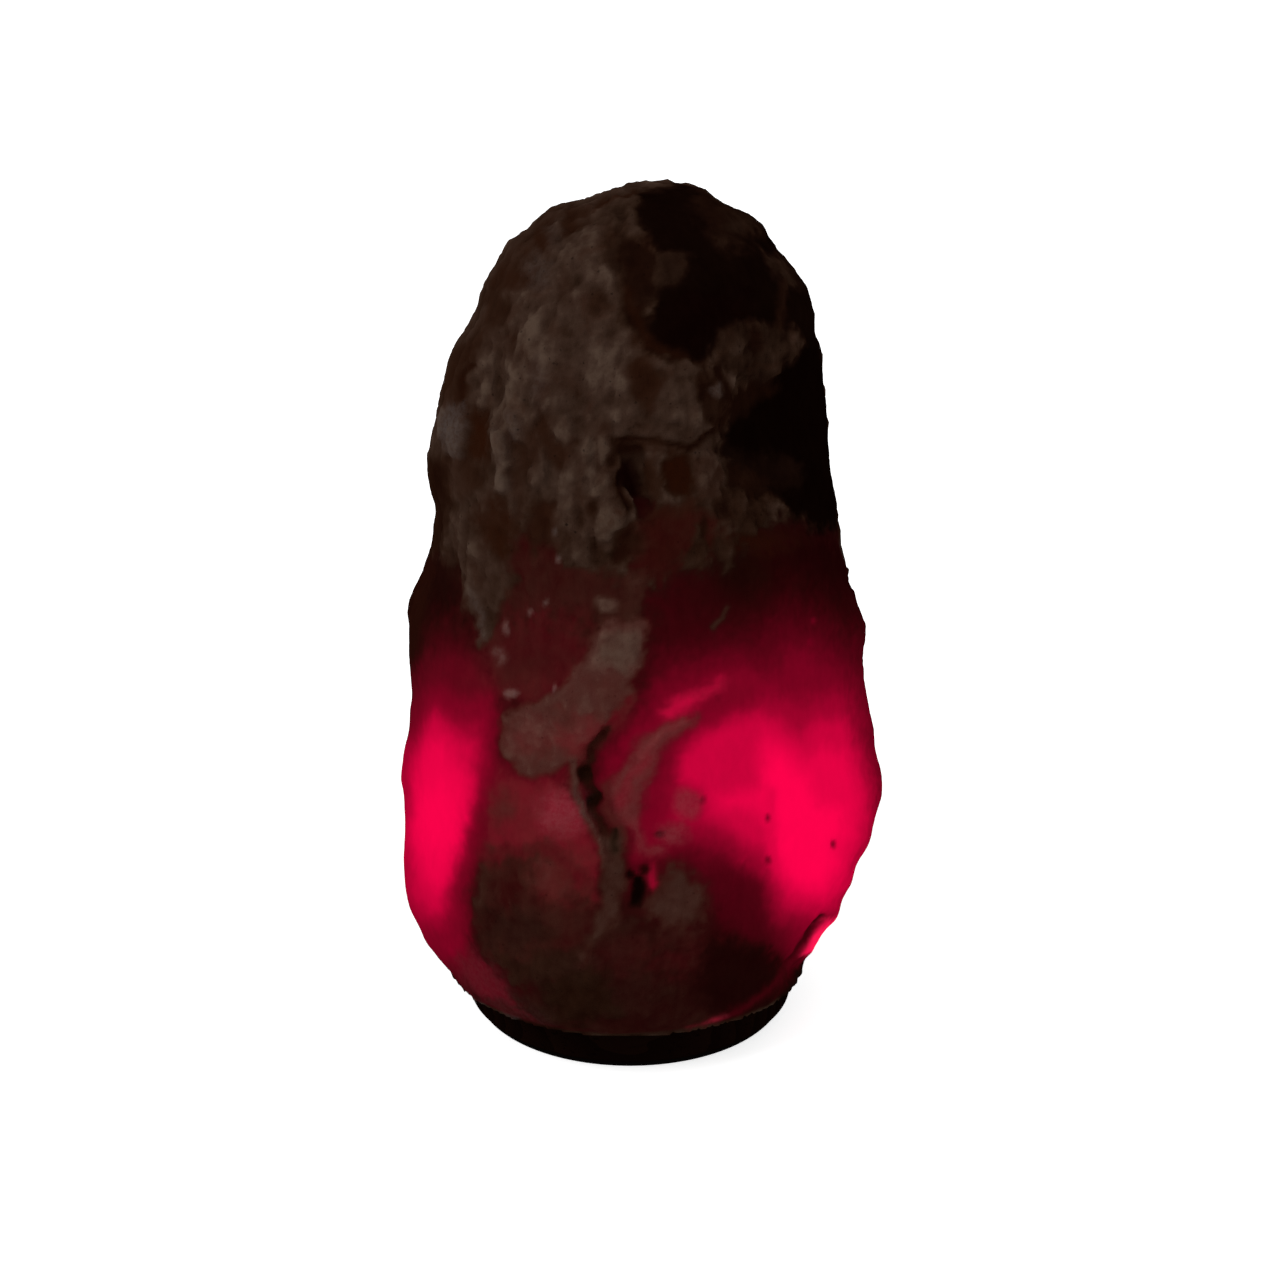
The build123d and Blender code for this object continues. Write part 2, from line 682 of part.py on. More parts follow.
with BuildPart() as bulb_cap_shell:
    shoulder_z = bulb_cap_bottom_z - 0.4 * insulator_height
    inner_mid_radius = bulb_mid_radius - bulb_shell_wall
    with BuildSketch(Plane.XZ):
        with BuildLine():
            Polyline(
                (inner_mid_radius, bulb_cap_bottom_z),
                (insulator_radius + fit_clearance, shoulder_z + bulb_shell_wall),
                (insulator_radius + fit_clearance, shoulder_z),
                (bulb_mid_radius, bulb_cap_bottom_z),
            )
            thread_wave(bulb_mid_radius, bulb_cap_bottom_z, thread_turns, 1)
            Line((bulb_mid_radius, bulb_seat_z), (inner_mid_radius, bulb_seat_z))
            thread_wave(inner_mid_radius, bulb_cap_bottom_z, thread_turns, 1)
        make_face()
    revolve(axis=Axis.Z)

with BuildPart() as bulb_cap_insulator:
    with BuildSketch(Plane.XZ):
        with BuildLine():
            Polyline(
                (tip_stem_diameter / 2 + fit_clearance, tip_top_z),
                (tip_diameter / 2 + fit_clearance, tip_top_z),
                (insulator_radius, shoulder_z),
                (insulator_radius, bulb_cap_bottom_z + bulb_shell_wall),
                (tip_stem_diameter / 2 + fit_clearance, bulb_cap_bottom_z + bulb_shell_wall),
                close=True,
            )
        make_face()
    revolve(axis=Axis.Z)

with BuildPart() as bulb_tip_contact:
    with BuildSketch(Plane.XY.offset(tip_top_z)):
        Circle(tip_diameter / 2)
    extrude(amount=-tip_height)
    fillet(bulb_tip_contact.edges().sort_by(Axis.Z)[0], tip_height * 0.8)
    with BuildSketch(Plane.XY.offset(tip_top_z)):
        Circle(tip_stem_diameter / 2)
    extrude(amount=tip_stem_length)

housing_flare_z = bulb_seat_z + housing_collar_height
housing_rim_z = bulb_seat_z + housing_flare_height
housing_top_z = housing_rim_z + housing_rim_height
board_bottom_z = housing_top_z - led_board_thickness
housing_radius = housing_diameter / 2
neck_radius = bulb_mid_radius - bulb_shell_wall - thread_depth / 2 - fit_clearance
neck_inner_radius = neck_radius - housing_neck_wall
board_recess_radius = housing_radius - housing_wall
board_ledge_radius = board_recess_radius - led_board_ledge

with BuildPart() as bulb_housing:
    with BuildSketch(Plane.XZ):
        with BuildLine():
            Polyline(
                (neck_inner_radius, bulb_seat_z),
                (neck_inner_radius, bulb_seat_z - housing_neck_depth),
                (neck_radius, bulb_seat_z - housing_neck_depth),
                (neck_radius, bulb_seat_z),
                (housing_collar_diameter / 2, bulb_seat_z),
                (housing_collar_diameter / 2, housing_flare_z),
            )
            TangentArc(
                (housing_radius, housing_rim_z),
                (housing_collar_diameter / 2, housing_flare_z),
                tangent=(0, -1),
            )
            Polyline(
                (housing_radius, housing_rim_z),
                (housing_radius, housing_top_z),
                (board_recess_radius, housing_top_z),
                (board_recess_radius, board_bottom_z),
                (board_ledge_radius, board_bottom_z),
                (board_ledge_radius, housing_rim_z - housing_wall),
                (neck_inner_radius + housing_wall, housing_flare_z + housing_wall / 2),
                (neck_inner_radius, bulb_seat_z),
            )
        make_face()
    revolve(axis=Axis.Z)

with BuildPart() as bulb_led_board:
    with BuildSketch(Plane.XY.offset(board_bottom_z)):
        Circle(board_recess_radius - fit_clearance)
    extrude(amount=led_board_thickness)

with BuildPart() as bulb_leds:
    with BuildSketch(Plane.XY.offset(housing_top_z)):
        Rectangle(led_chip_size, led_chip_size)
        with PolarLocations(led_ring_diameter / 2, led_ring_count):
            Rectangle(led_chip_size, led_chip_size)
    extrude(amount=led_chip_height)

with BuildPart() as bulb_diffuser:
    dome_z = housing_top_z + diffuser_height - housing_radius
    inner_dome_radius = housing_radius - diffuser_wall
    with BuildSketch(Plane.XZ):
        with BuildLine():
            Polyline(
                (inner_dome_radius, dome_z),
                (inner_dome_radius, housing_top_z),
                (housing_radius, housing_top_z),
                (housing_radius, dome_z),
            )
            ThreePointArc(
                (housing_radius, dome_z),
                (housing_radius * cos(pi / 4), dome_z + housing_radius * sin(pi / 4)),
                (0, dome_z + housing_radius),
            )
            Line((0, dome_z + housing_radius), (0, dome_z + inner_dome_radius))
            ThreePointArc(
                (0, dome_z + inner_dome_radius),
                (inner_dome_radius * cos(pi / 4), dome_z + inner_dome_radius * sin(pi / 4)),
                (inner_dome_radius, dome_z),
            )
        make_face()
    revolve(axis=Axis.Z)

driver_board_bottom_z = bulb_seat_z - housing_neck_depth - driver_board_drop / 3
driver_board_centre_z = driver_board_bottom_z + driver_board_height / 2
capacitor_z = housing_flare_z + housing_wall / 2 + capacitor_length / 2
bridge_z = driver_board_bottom_z + 0.7 * bridge_size

with BuildPart() as bulb_driver_board:
    with Locations((0, 0, driver_board_centre_z)):
        Box(driver_board_width, driver_board_thickness, driver_board_height)

with BuildPart() as bulb_driver_parts:
    # The capacitor and the bridge stand on the board's front, the choke on its back.
    with Locations((0, -(driver_board_thickness + capacitor_diameter) / 2, capacitor_z)):
        Cylinder(capacitor_diameter / 2, capacitor_length)
    with Locations((0, -(driver_board_thickness + bridge_height) / 2, bridge_z)):
        Box(bridge_size, bridge_height, bridge_size)
    with Locations((0, (driver_board_thickness + choke_diameter) / 2, capacitor_z)):
        Cylinder(choke_diameter / 2, choke_length)

with BuildPart() as bulb_lead:
    stem_top_z = tip_top_z + tip_stem_length
    with BuildSketch(Plane.XY.offset(stem_top_z)):
        Circle(lead_diameter / 2)
    extrude(amount=driver_board_bottom_z - stem_top_z)

# ================================================================ the pieces
os.makedirs("parts", exist_ok=True)

salt_crystal.part.label = "salt_crystal"
export_step(salt_crystal.part, "parts/salt_crystal.step")
wood_base.part.label = "wood_base"
export_step(wood_base.part, "parts/wood_base.step")
foot_ring.part.label = "foot_ring"
export_step(foot_ring.part, "parts/foot_ring.step")
base_screws.part.label = "base_screws"
export_step(base_screws.part, "parts/base_screws.step")
crystal_anchors.part.label = "crystal_anchors"
export_step(crystal_anchors.part, "parts/crystal_anchors.step")
holder_cap.part.label = "holder_cap"
export_step(holder_cap.part, "parts/holder_cap.step")
holder_barrel.part.label = "holder_barrel"
export_step(holder_barrel.part, "parts/holder_barrel.step")
thread_shell.part.label = "thread_shell"
export_step(thread_shell.part, "parts/thread_shell.step")
terminal_block.part.label = "terminal_block"
export_step(terminal_block.part, "parts/terminal_block.step")
terminal_screws.part.label = "terminal_screws"
export_step(terminal_screws.part, "parts/terminal_screws.step")
centre_contact.part.label = "centre_contact"
export_step(centre_contact.part, "parts/centre_contact.step")
side_contact.part.label = "side_contact"
export_step(side_contact.part, "parts/side_contact.step")
cord_clamp.part.label = "cord_clamp"
export_step(cord_clamp.part, "parts/cord_clamp.step")
cord_clamp_screws.part.label = "cord_clamp_screws"
export_step(cord_clamp_screws.part, "parts/cord_clamp_screws.step")
clip_collar.part.label = "clip_collar"
export_step(clip_collar.part, "parts/clip_collar.step")
clip_pins.part.label = "clip_pins"
export_step(clip_pins.part, "parts/clip_pins.step")
clip_left.part.label = "clip_left"
export_step(clip_left.part, "parts/clip_left.step")
clip_right.part.label = "clip_right"
export_step(clip_right.part, "parts/clip_right.step")
bulb_cap_shell.part.label = "bulb_cap_shell"
export_step(bulb_cap_shell.part, "parts/bulb_cap_shell.step")
bulb_cap_insulator.part.label = "bulb_cap_insulator"
export_step(bulb_cap_insulator.part, "parts/bulb_cap_insulator.step")
bulb_tip_contact.part.label = "bulb_tip_contact"
export_step(bulb_tip_contact.part, "parts/bulb_tip_contact.step")
bulb_housing.part.label = "bulb_housing"
export_step(bulb_housing.part, "parts/bulb_housing.step")
bulb_led_board.part.label = "bulb_led_board"
export_step(bulb_led_board.part, "parts/bulb_led_board.step")
bulb_leds.part.label = "bulb_leds"
export_step(bulb_leds.part, "parts/bulb_leds.step")
bulb_diffuser.part.label = "bulb_diffuser"
export_step(bulb_diffuser.part, "parts/bulb_diffuser.step")
bulb_driver_board.part.label = "bulb_driver_board"
export_step(bulb_driver_board.part, "parts/bulb_driver_board.step")
bulb_driver_parts.part.label = "bulb_driver_parts"
export_step(bulb_driver_parts.part, "parts/bulb_driver_parts.step")
bulb_lead.part.label = "bulb_lead"
export_step(bulb_lead.part, "parts/bulb_lead.step")
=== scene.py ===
"""A rock-salt lamp on a dark wooden base, lit from inside by a small pink-red bulb.

The crystal is shaped over its solid: its broad form comes from the solid, and its flutes, ledges,
crusts and clear windows from marks laid out on a sketch of the front, with noise everywhere else.
"""

from __future__ import annotations

import logging
import math
from dataclasses import dataclass
from enum import Enum
from functools import cache, cached_property
from typing import Protocol, Sequence

import bpy
import numpy as np
from mathutils import Euler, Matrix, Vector, noise


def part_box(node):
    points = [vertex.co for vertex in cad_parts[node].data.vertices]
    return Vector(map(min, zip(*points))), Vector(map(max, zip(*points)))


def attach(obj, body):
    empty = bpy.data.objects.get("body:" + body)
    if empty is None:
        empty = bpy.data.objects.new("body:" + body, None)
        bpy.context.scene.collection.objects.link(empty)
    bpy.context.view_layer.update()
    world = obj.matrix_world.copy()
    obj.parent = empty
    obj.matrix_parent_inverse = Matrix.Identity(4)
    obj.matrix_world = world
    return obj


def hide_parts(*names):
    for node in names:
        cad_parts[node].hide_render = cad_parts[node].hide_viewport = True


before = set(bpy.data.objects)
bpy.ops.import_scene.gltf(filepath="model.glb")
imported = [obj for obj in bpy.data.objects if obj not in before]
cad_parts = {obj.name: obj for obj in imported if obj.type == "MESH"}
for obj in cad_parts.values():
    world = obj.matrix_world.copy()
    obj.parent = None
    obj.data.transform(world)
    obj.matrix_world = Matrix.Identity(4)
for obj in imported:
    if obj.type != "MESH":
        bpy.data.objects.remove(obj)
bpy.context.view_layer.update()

MM = 0.001
TINY = 1e-9
WHITE = (1.0, 1.0, 1.0, 1.0)
# What is painted on the crystal's points, each from 0 to 1.
PAINTED = ("tone", "glow", "amber", "grain", "pale")
# How wide the soft edge of a spot and of an area is, each way, as a share of the mark's soft.
SPOT_EDGE, AREA_EDGE = 1.3, 1.4
# How fast the finer layers of a noise fade, and how much finer each is than the last.
FINER_FADE, FINER_STEP = 0.9, 2.0

Rgb = tuple[float, float, float]
Place = tuple[float, float, float]
Span = tuple[float, float]
Dent = tuple[Span, float, float]
Term = "Wire | float"

log = logging.getLogger("salt_lamp")


def tint(red: int, green: int, blue: int) -> Rgb:
    """Turns a colour as it is seen, in 0 to 255, into linear light.

    Args:
        red: Red, 0 to 255.
        green: Green, 0 to 255.
        blue: Blue, 0 to 255.

    Returns:
        The linear colour, 0 to 1.
    """
    return tuple(
        v / 12.92 if v <= 0.04045 else ((v + 0.055) / 1.055) ** 2.4
        for v in (red / 255, green / 255, blue / 255)
    )


# ------------------------------------------------------------------ shader maths


class Wire:
    """A value on its way through a shader, which can be used in sums and products."""

    def __init__(self, graph: Graph, socket: bpy.types.NodeSocket) -> None:
        """Keeps the socket and the graph that it belongs to."""
        self.graph, self.socket = graph, socket

    def _maths(self, operation: str, first: Term, second: Term, clamp: bool = False) -> Wire:
        """Adds one Math node for two values; clamp holds its result between 0 and 1."""
        settings = {"operation": operation, "use_clamp": clamp}
        return self.graph.node("ShaderNodeMath", settings, {0: first, 1: second})

    def __add__(self, other: Term) -> Wire:
        """Adds."""
        return self._maths("ADD", self, other)

    def __sub__(self, other: Term) -> Wire:
        """Subtracts."""
        return self._maths("SUBTRACT", self, other)

    def __rsub__(self, other: Term) -> Wire:
        """Subtracts from a number."""
        return self._maths("SUBTRACT", other, self)

    def __mul__(self, other: Term) -> Wire:
        """Multiplies."""
        return self._maths("MULTIPLY", self, other)

    def __pow__(self, other: Term) -> Wire:
        """Raises to a power."""
        return self._maths("POWER", self, other)

    __radd__, __rmul__ = __add__, __mul__

    def most(self, other: Term) -> Wire:
        """Takes the larger of two values."""
        return self._maths("MAXIMUM", self, other)

    def clamped(self) -> Wire:
        """Holds the value between 0 and 1."""
        return self._maths("ADD", self, 0.0, clamp=True)

    def step(self, low: float, high: float) -> Wire:
        """Rises smoothly from 0, where the value is low, to 1, where it is high."""
        inputs = {"Value": self, "From Min": low, "From Max": high}
        return self.graph.node("ShaderNodeMapRange", {"interpolation_type": "SMOOTHSTEP"}, inputs)


class Graph:
    """A tree of shader nodes."""

    def __init__(self, tree: bpy.types.NodeTree) -> None:
        """Empties the tree and keeps it."""
        self.tree = tree
        tree.nodes.clear()

    def node(
        self,
        kind: str,
        settings: dict[str, object] | None = None,
        inputs: dict[str | int, object] | None = None,
        output: int | str = 0,
    ) -> Wire:
        """Adds a node.

        Args:
            kind: The node's type.
            settings: What is set on the node itself.
            inputs: Values, colours or wires for its sockets, by name or number.
            output: The socket that is used, by name or number.

        Returns:
            The node's output.
        """
        made = self.tree.nodes.new(kind)
        for key, value in (settings or {}).items():
            setattr(made, key, value)
        for key, value in (inputs or {}).items():
            if isinstance(value, Wire):
                self.tree.links.new(value.socket, made.inputs[key])
            else:
                made.inputs[key].default_value = value
        return Wire(self, made.outputs[output])

    def show(self, kind: str, surface: Wire) -> None:
        """Leads a surface's shader into a new output node of the given type."""
        self.tree.links.new(surface.socket, self.tree.nodes.new(kind).inputs["Surface"])

    def looked_at(self) -> Wire:
        """Tells rays that look at a thing, straight or by way of another, from those that light it.

        Returns:
            1 for camera, glossy and transmission rays, 0 for the rest.
        """
        rays = ("Is Camera Ray", "Is Glossy Ray", "Is Transmission Ray")
        camera, glossy, through = (self.node("ShaderNodeLightPath", output=ray) for ray in rays)
        return camera.most(glossy).most(through)


class Material(Graph):
    """A procedural material with one Principled shader."""

    def __init__(self, name: str, specular: float) -> None:
        """Starts the material.

        Args:
            name: The material's name.
            specular: The shader's specular level, the same all over.
        """
        self.material = bpy.data.materials.new(name)
        self.material.use_nodes = True
        self.specular = specular
        super().__init__(self.material.node_tree)

    @cached_property
    def places(self) -> Wire:
        """Object coordinates, in metres."""
        return self.node("ShaderNodeTexCoord", output="Object")

    def stretched(self, scale: Place, turn: Place = (0.0, 0.0, 0.0)) -> Wire:
        """Object coordinates, scaled along each axis and turned about it, in radians."""
        inputs = {"Vector": self.places, "Scale": scale, "Rotation": turn}
        return self.node("ShaderNodeMapping", inputs=inputs)

    def speckle(
        self,
        size_mm: float,
        detail: float = 3.0,
        rough: float = 0.55,
        places: Wire | None = None,
        twist: float = 0.0,
    ) -> Wire:
        """Soft noise around 0.5.

        Args:
            size_mm: The size of its largest lumps.
            detail: How many finer layers it has.
            rough: How strong the finer layers are.
            places: Where it is read, if not at the object's own places.
            twist: How far it is distorted.

        Returns:
            The noise.
        """
        inputs = {"Scale": 1.0 / (size_mm * MM), "Detail": detail, "Roughness": rough}
        inputs |= {"Vector": places or self.places, "Distortion": twist}
        return self.node("ShaderNodeTexNoise", inputs=inputs)

    def cells(self, size_mm: float) -> Wire:
        """The distance to the nearest middle of cells of the given size, in cells."""
        inputs = {"Vector": self.places, "Scale": 1.0 / (size_mm * MM)}
        return self.node("ShaderNodeTexVoronoi", inputs=inputs, output="Distance")

    def painted(self, name: str) -> Wire:
        """A value stored on the piece's own points under the given name."""
        return self.node("ShaderNodeAttribute", {"attribute_name": name}, output="Fac")

    def blend(self, amount: Term, first: Wire | Rgb, second: Wire | Rgb) -> Wire:
        """Mixes two colours.

        Args:
            amount: 0 for the first, 1 for the second.
            first: The first colour.
            second: The second colour.

        Returns:
            The mixed colour.
        """
        inputs: dict[int, object] = {0: amount}
        for key, value in ((6, first), (7, second)):
            inputs[key] = value if isinstance(value, Wire) else (*value, 1.0)
        return self.node("ShaderNodeMix", {"data_type": "RGBA"}, inputs, output=2)

    def ramp(self, value: Wire, stops: Sequence[tuple[float, Rgb]]) -> Wire:
        """Turns a value into a colour.

        Args:
            value: The value, 0 to 1.
            stops: Places and colours.

        Returns:
            The colour.
        """
        made = self.node("ShaderNodeValToRGB", inputs={"Fac": value})
        elements = made.socket.node.color_ramp.elements
        elements.remove(elements[-1])
        for index, (place, colour) in enumerate(stops):
            stop = elements.new(place) if index else elements[0]
            stop.position, stop.color = place, (*colour, 1.0)
        return made

    def bumped(self, height: Wire, depth_mm: float, strength: float) -> Wire:
        """A normal from a height, where 1 is the full depth."""
        inputs = {"Height": height, "Distance": depth_mm * MM, "Strength": strength}
        return self.node("ShaderNodeBump", inputs=inputs)

    def finish(self, **sockets: object) -> bpy.types.Material:
        """Plugs wires or values into the shader and shows it.

        Args:
            **sockets: The shader's sockets, with underscores for spaces.

        Returns:
            The finished material.
        """
        inputs = {key.replace("_", " ").title(): value for key, value in sockets.items()}
        inputs["Specular IOR Level"] = self.specular
        self.show("ShaderNodeOutputMaterial", self.node("ShaderNodeBsdfPrincipled", inputs=inputs))
        return self.material


class Finish(Protocol):
    """A frozen set of values that makes one material."""

    def make(self) -> bpy.types.Material:
        """Makes the material."""


@cache
def shared(finish: Finish) -> bpy.types.Material:
    """Makes a finish's material once, however many nodes get it."""
    return finish.make()


# ------------------------------------------------------------------ finishes


@dataclass(frozen=True)
class RockSaltFinish:
    """Cloudy rock salt with a pale weathered crust, glowing where it is thin."""

    crust_light: Rgb = tint(76, 60, 50)
    crust_pale: Rgb = tint(57, 41, 33)
    crust_dull: Rgb = tint(42, 27, 19)
    clear_brown: Rgb = tint(25, 12, 7)
    clear_dark: Rgb = tint(8, 2, 1)
    rust: Rgb = tint(48, 24, 13)
    amber: Rgb = tint(38, 14, 4)
    frost: Rgb = tint(76, 68, 66)
    pit: Rgb = tint(8, 3, 2)
    glow_deep: Rgb = tint(255, 0, 75)
    glow_pale: Rgb = tint(255, 52, 104)
    glow_gamma: float = 2.2

    def make(self) -> bpy.types.Material:
        """Makes the material.

        Returns:
            The material.
        """
        salt = Material("rock_salt", specular=0.0)
        tone, glow, amber, grain, pale = (salt.painted(name) for name in PAINTED)
        coarse = salt.speckle(11.0, 4.0, 0.58)
        turned = salt.stretched((1.0, 1.3, 0.8), (0.4, 0.2, 0.9))
        stain = salt.speckle(8.0, 3.0, 0.55, turned, 0.4)
        veins = salt.speckle(4.2, 5.0, 0.62, salt.stretched((1.6, 1.6, 0.7)), 0.6)
        fine = salt.speckle(1.3, 4.0, 0.68)
        dust = salt.speckle(0.5, 2.0, 0.6)

        mottled = (
            tone
            + (coarse - 0.5) * 0.26 * (0.3 + tone)
            + (veins - 0.5) * 0.26 * (0.25 + grain * 0.75)
            + (fine - 0.5) * 0.17 * grain
        ).clamped()
        stops = (
            (0.0, self.clear_dark),
            (0.3, self.clear_brown),
            (0.55, self.crust_dull),
            (0.8, self.crust_pale),
            (1.0, self.crust_light),
        )
        body = salt.ramp(mottled, stops)
        rusty = (stain.step(0.52, 0.7) * grain * tone * 0.5).clamped()
        body = salt.blend(rusty, body, self.rust)
        body = salt.blend((amber * (0.5 + veins)).clamped(), body, self.amber)
        frost = (pale * (fine.step(0.36, 0.6) * 0.65 + 0.35)).clamped()
        body = salt.blend(frost, body, self.frost)
        pits = (1 - salt.cells(2.4).step(0.05, 0.24)) * fine.step(0.5, 0.64) * grain
        body = salt.blend((pits * 0.7).clamped(), body, self.pit)

        # The glow is painted light: the bulb's light through the salt is painted on the crystal's
        # surface as emission.
        cloud = 1 + ((veins - 0.5) * 0.24 + (fine - 0.5) * 0.06) * (1 - glow * 0.8)
        shine = ((glow * cloud).clamped()) ** self.glow_gamma
        light = salt.blend(pale * 0.7, self.glow_deep, self.glow_pale)
        dimmed = {0: light, "Scale": shine * (1 - pits * 0.4)}
        # Where light comes through, the salt itself takes up the room's light and looks darker.
        body = salt.blend(shine.step(0.08, 0.7) * 0.9, body, self.pit)

        relief = (
            veins * (0.22 + 0.38 * grain)
            + fine * (0.06 + 0.3 * grain)
            + dust * (0.02 + 0.1 * grain)
            - pits * 0.35
        )
        return salt.finish(
            base_color=body,
            roughness=(0.42 + 0.35 * grain + (fine - 0.5) * 0.2).clamped(),
            normal=salt.bumped(relief, 1.0, 0.8),
            emission_color=salt.node("ShaderNodeVectorMath", {"operation": "SCALE"}, dimmed),
            emission_strength=1.0,
        )


@dataclass(frozen=True)
class DarkWoodFinish:
    """Waxed wood with its grain along X, nearly black: partly a dark stain, partly painted shade.
    """

    # These colours are near black, partly the wood's dark stain and partly painted shade of the
    # base under the crystal.
    stain: Rgb = tint(9, 3, 2)
    early: Rgb = tint(19, 7, 4)
    pore: Rgb = tint(6, 2, 2)

    def make(self) -> bpy.types.Material:
        """Makes the material.

        Returns:
            The material.
        """
        wood = Material("dark_wood", specular=0.0)
        along = wood.stretched((0.16, 1.0, 1.0), (0.35, 0.06, 0.1))
        bend = wood.speckle(24.0, 2.0, 0.5, along)
        rings = wood.node(
            "ShaderNodeTexWave",
            {"wave_type": "RINGS", "rings_direction": "X", "wave_profile": "SAW"},
            {"Vector": along, "Scale": 62.0, "Distortion": 4.0, "Detail": 2.0, "Detail Scale": 1.4},
            "Fac",
        )
        pores = wood.speckle(0.9, 3.0, 0.6, wood.stretched((0.06, 1.0, 1.0), (0.0, 0.0, 0.1)))
        fleck = pores.step(0.58, 0.68)
        body = wood.blend((rings * 0.75 + bend * 0.3).clamped(), self.early, self.stain)
        return wood.finish(
            base_color=wood.blend(fleck * 0.8, body, self.pore),
            roughness=(0.42 + fleck * 0.3 + (bend - 0.5) * 0.15).clamped(),
            normal=wood.bumped(rings * 0.3 - fleck * 0.8, 0.12, 0.7),
        )


class Metal(Enum):
    """The metals: colour, roughness, and how far their surface shows crystals."""

    ZINC = (tint(186, 187, 184), 0.34, 1.0)
    SPRING = (tint(176, 178, 182), 0.24, 0.35)
    BRASS = (tint(205, 176, 108), 0.28, 0.5)


@dataclass(frozen=True)
class MetalFinish:
    """A drawn or plated metal with fine scratches and a dull bloom."""

    metal: Metal
    dulling: float = 0.62

    def make(self) -> bpy.types.Material:
        """Makes the material.

        Returns:
            The material.
        """
        colour, roughness, crystals = self.metal.value
        made = Material(f"{self.metal.name.lower()}_metal", specular=0.5)
        bloom = made.speckle(3.0, 4.0, 0.6)
        scratch = made.speckle(0.35, 2.0, 0.5, made.stretched((1.0, 1.0, 0.08)))
        flakes = made.cells(1.6) * crystals
        dull = tuple(v * self.dulling for v in colour)
        return made.finish(
            base_color=made.blend((bloom.step(0.45, 0.75) * 0.7).clamped(), colour, dull),
            metallic=1.0,
            roughness=(roughness + (bloom - 0.5) * 0.3 + flakes * 0.12).clamped(),
            normal=made.bumped(scratch + flakes * 0.4, 0.03, 0.5),
        )


class Moulding(Enum):
    """Moulded plastics and ceramics: two shades, roughness, grain in mm, specular level."""

    BLACK_PHENOLIC = (tint(26, 25, 26), tint(17, 16, 17), 0.36, 0.5, 0.45)
    WHITE_PLASTIC = (tint(226, 225, 220), tint(205, 202, 194), 0.42, 0.45, 0.45)
    NYLON = (tint(210, 207, 192), tint(188, 182, 162), 0.5, 0.6, 0.45)
    CERAMIC = (tint(224, 221, 212), tint(196, 190, 176), 0.62, 0.35, 0.45)
    CAP_GLASS = (tint(24, 22, 30), tint(12, 11, 16), 0.12, 1.2, 0.45)
    RUBBER = (tint(9, 6, 6), tint(13, 10, 9), 0.85, 0.4, 0.0)
    COMPONENT = (tint(44, 44, 50), tint(28, 28, 33), 0.4, 0.6, 0.45)


@dataclass(frozen=True)
class MouldedFinish:
    """A moulded surface with a fine grain, flow marks and a little dust."""

    kind: Moulding

    def make(self) -> bpy.types.Material:
        """Makes the material.

        Returns:
            The material.
        """
        colour, shade, roughness, grain_mm, specular = self.kind.value
        made = Material(f"{self.kind.name.lower()}_moulding", specular)
        flow = made.speckle(9.0, 3.0, 0.55, made.stretched((1.0, 1.0, 0.5)))
        grain = made.speckle(grain_mm, 3.0, 0.6)
        dust = (made.speckle(2.2, 4.0, 0.7).step(0.6, 0.78)) * 0.25
        return made.finish(
            base_color=made.blend((flow * 0.9 + dust).clamped(), colour, shade),
            roughness=(roughness + dust * 0.5 + (flow - 0.5) * 0.14).clamped(),
            normal=made.bumped(grain + flow * 0.3, 0.035, 0.55),
        )


@dataclass(frozen=True)
class BoardFinish:
    """A white-lacquered circuit board with copper pads and traces."""

    lacquer: Rgb = tint(214, 218, 210)
    trace: Rgb = tint(196, 201, 190)
    pad: Rgb = tint(176, 150, 96)
    traces_per_m: float = 520.0

    def make(self) -> bpy.types.Material:
        """Makes the material.

        Returns:
            The material.
        """
        board = Material("circuit_board", specular=0.5)
        edges = board.node(
            "ShaderNodeTexVoronoi",
            {"feature": "DISTANCE_TO_EDGE"},
            {"Vector": board.places, "Scale": self.traces_per_m},
            "Distance",
        )
        tracks = edges.step(0.09, 0.13)
        pads = 1 - board.cells(2.9).step(0.16, 0.2)
        body = board.blend(tracks, self.trace, self.lacquer)
        return board.finish(
            base_color=board.blend(pads * 0.9, body, self.pad),
            roughness=(0.3 + board.speckle(1.0) * 0.2).clamped(),
            metallic=pads * 0.8,
            normal=board.bumped(tracks * 0.5 + pads, 0.05, 0.6),
        )


class Lit(Enum):
    """What the bulb lights up: its name, body colour, bright and dim light."""

    DIFFUSER = ("lit_diffuser", tint(196, 120, 130), tint(255, 40, 110), tint(226, 0, 62))
    CHIP = ("lit_chip", tint(230, 190, 170), tint(255, 150, 190), tint(255, 40, 110))


@dataclass(frozen=True)
class LitFinish:
    """Frosted plastic or phosphor that gives out pink-red light, brightest low down."""

    kind: Lit
    low_mm: float
    high_mm: float
    shading: float = 0.8

    def make(self) -> bpy.types.Material:
        """Makes the material.

        Returns:
            The material.
        """
        name, body, bright, dim = self.kind.value
        lit = Material(name, specular=0.4)
        height = lit.node("ShaderNodeSeparateXYZ", inputs={0: lit.places}, output="Z")
        rise = height.step(self.low_mm * MM, self.high_mm * MM)
        cloud = lit.speckle(4.0, 3.0)
        frost = lit.speckle(0.3, 2.0)
        return lit.finish(
            base_color=lit.blend(cloud * 0.3, body, tuple(v * self.shading for v in body)),
            roughness=(0.5 + (frost - 0.5) * 0.2).clamped(),
            emission_color=lit.blend((rise * 0.8 + (cloud - 0.5) * 0.3).clamped(), bright, dim),
            emission_strength=1.0,
            normal=lit.bumped(frost, 0.02, 0.4),
        )


# ------------------------------------------------------------------ the photograph's view


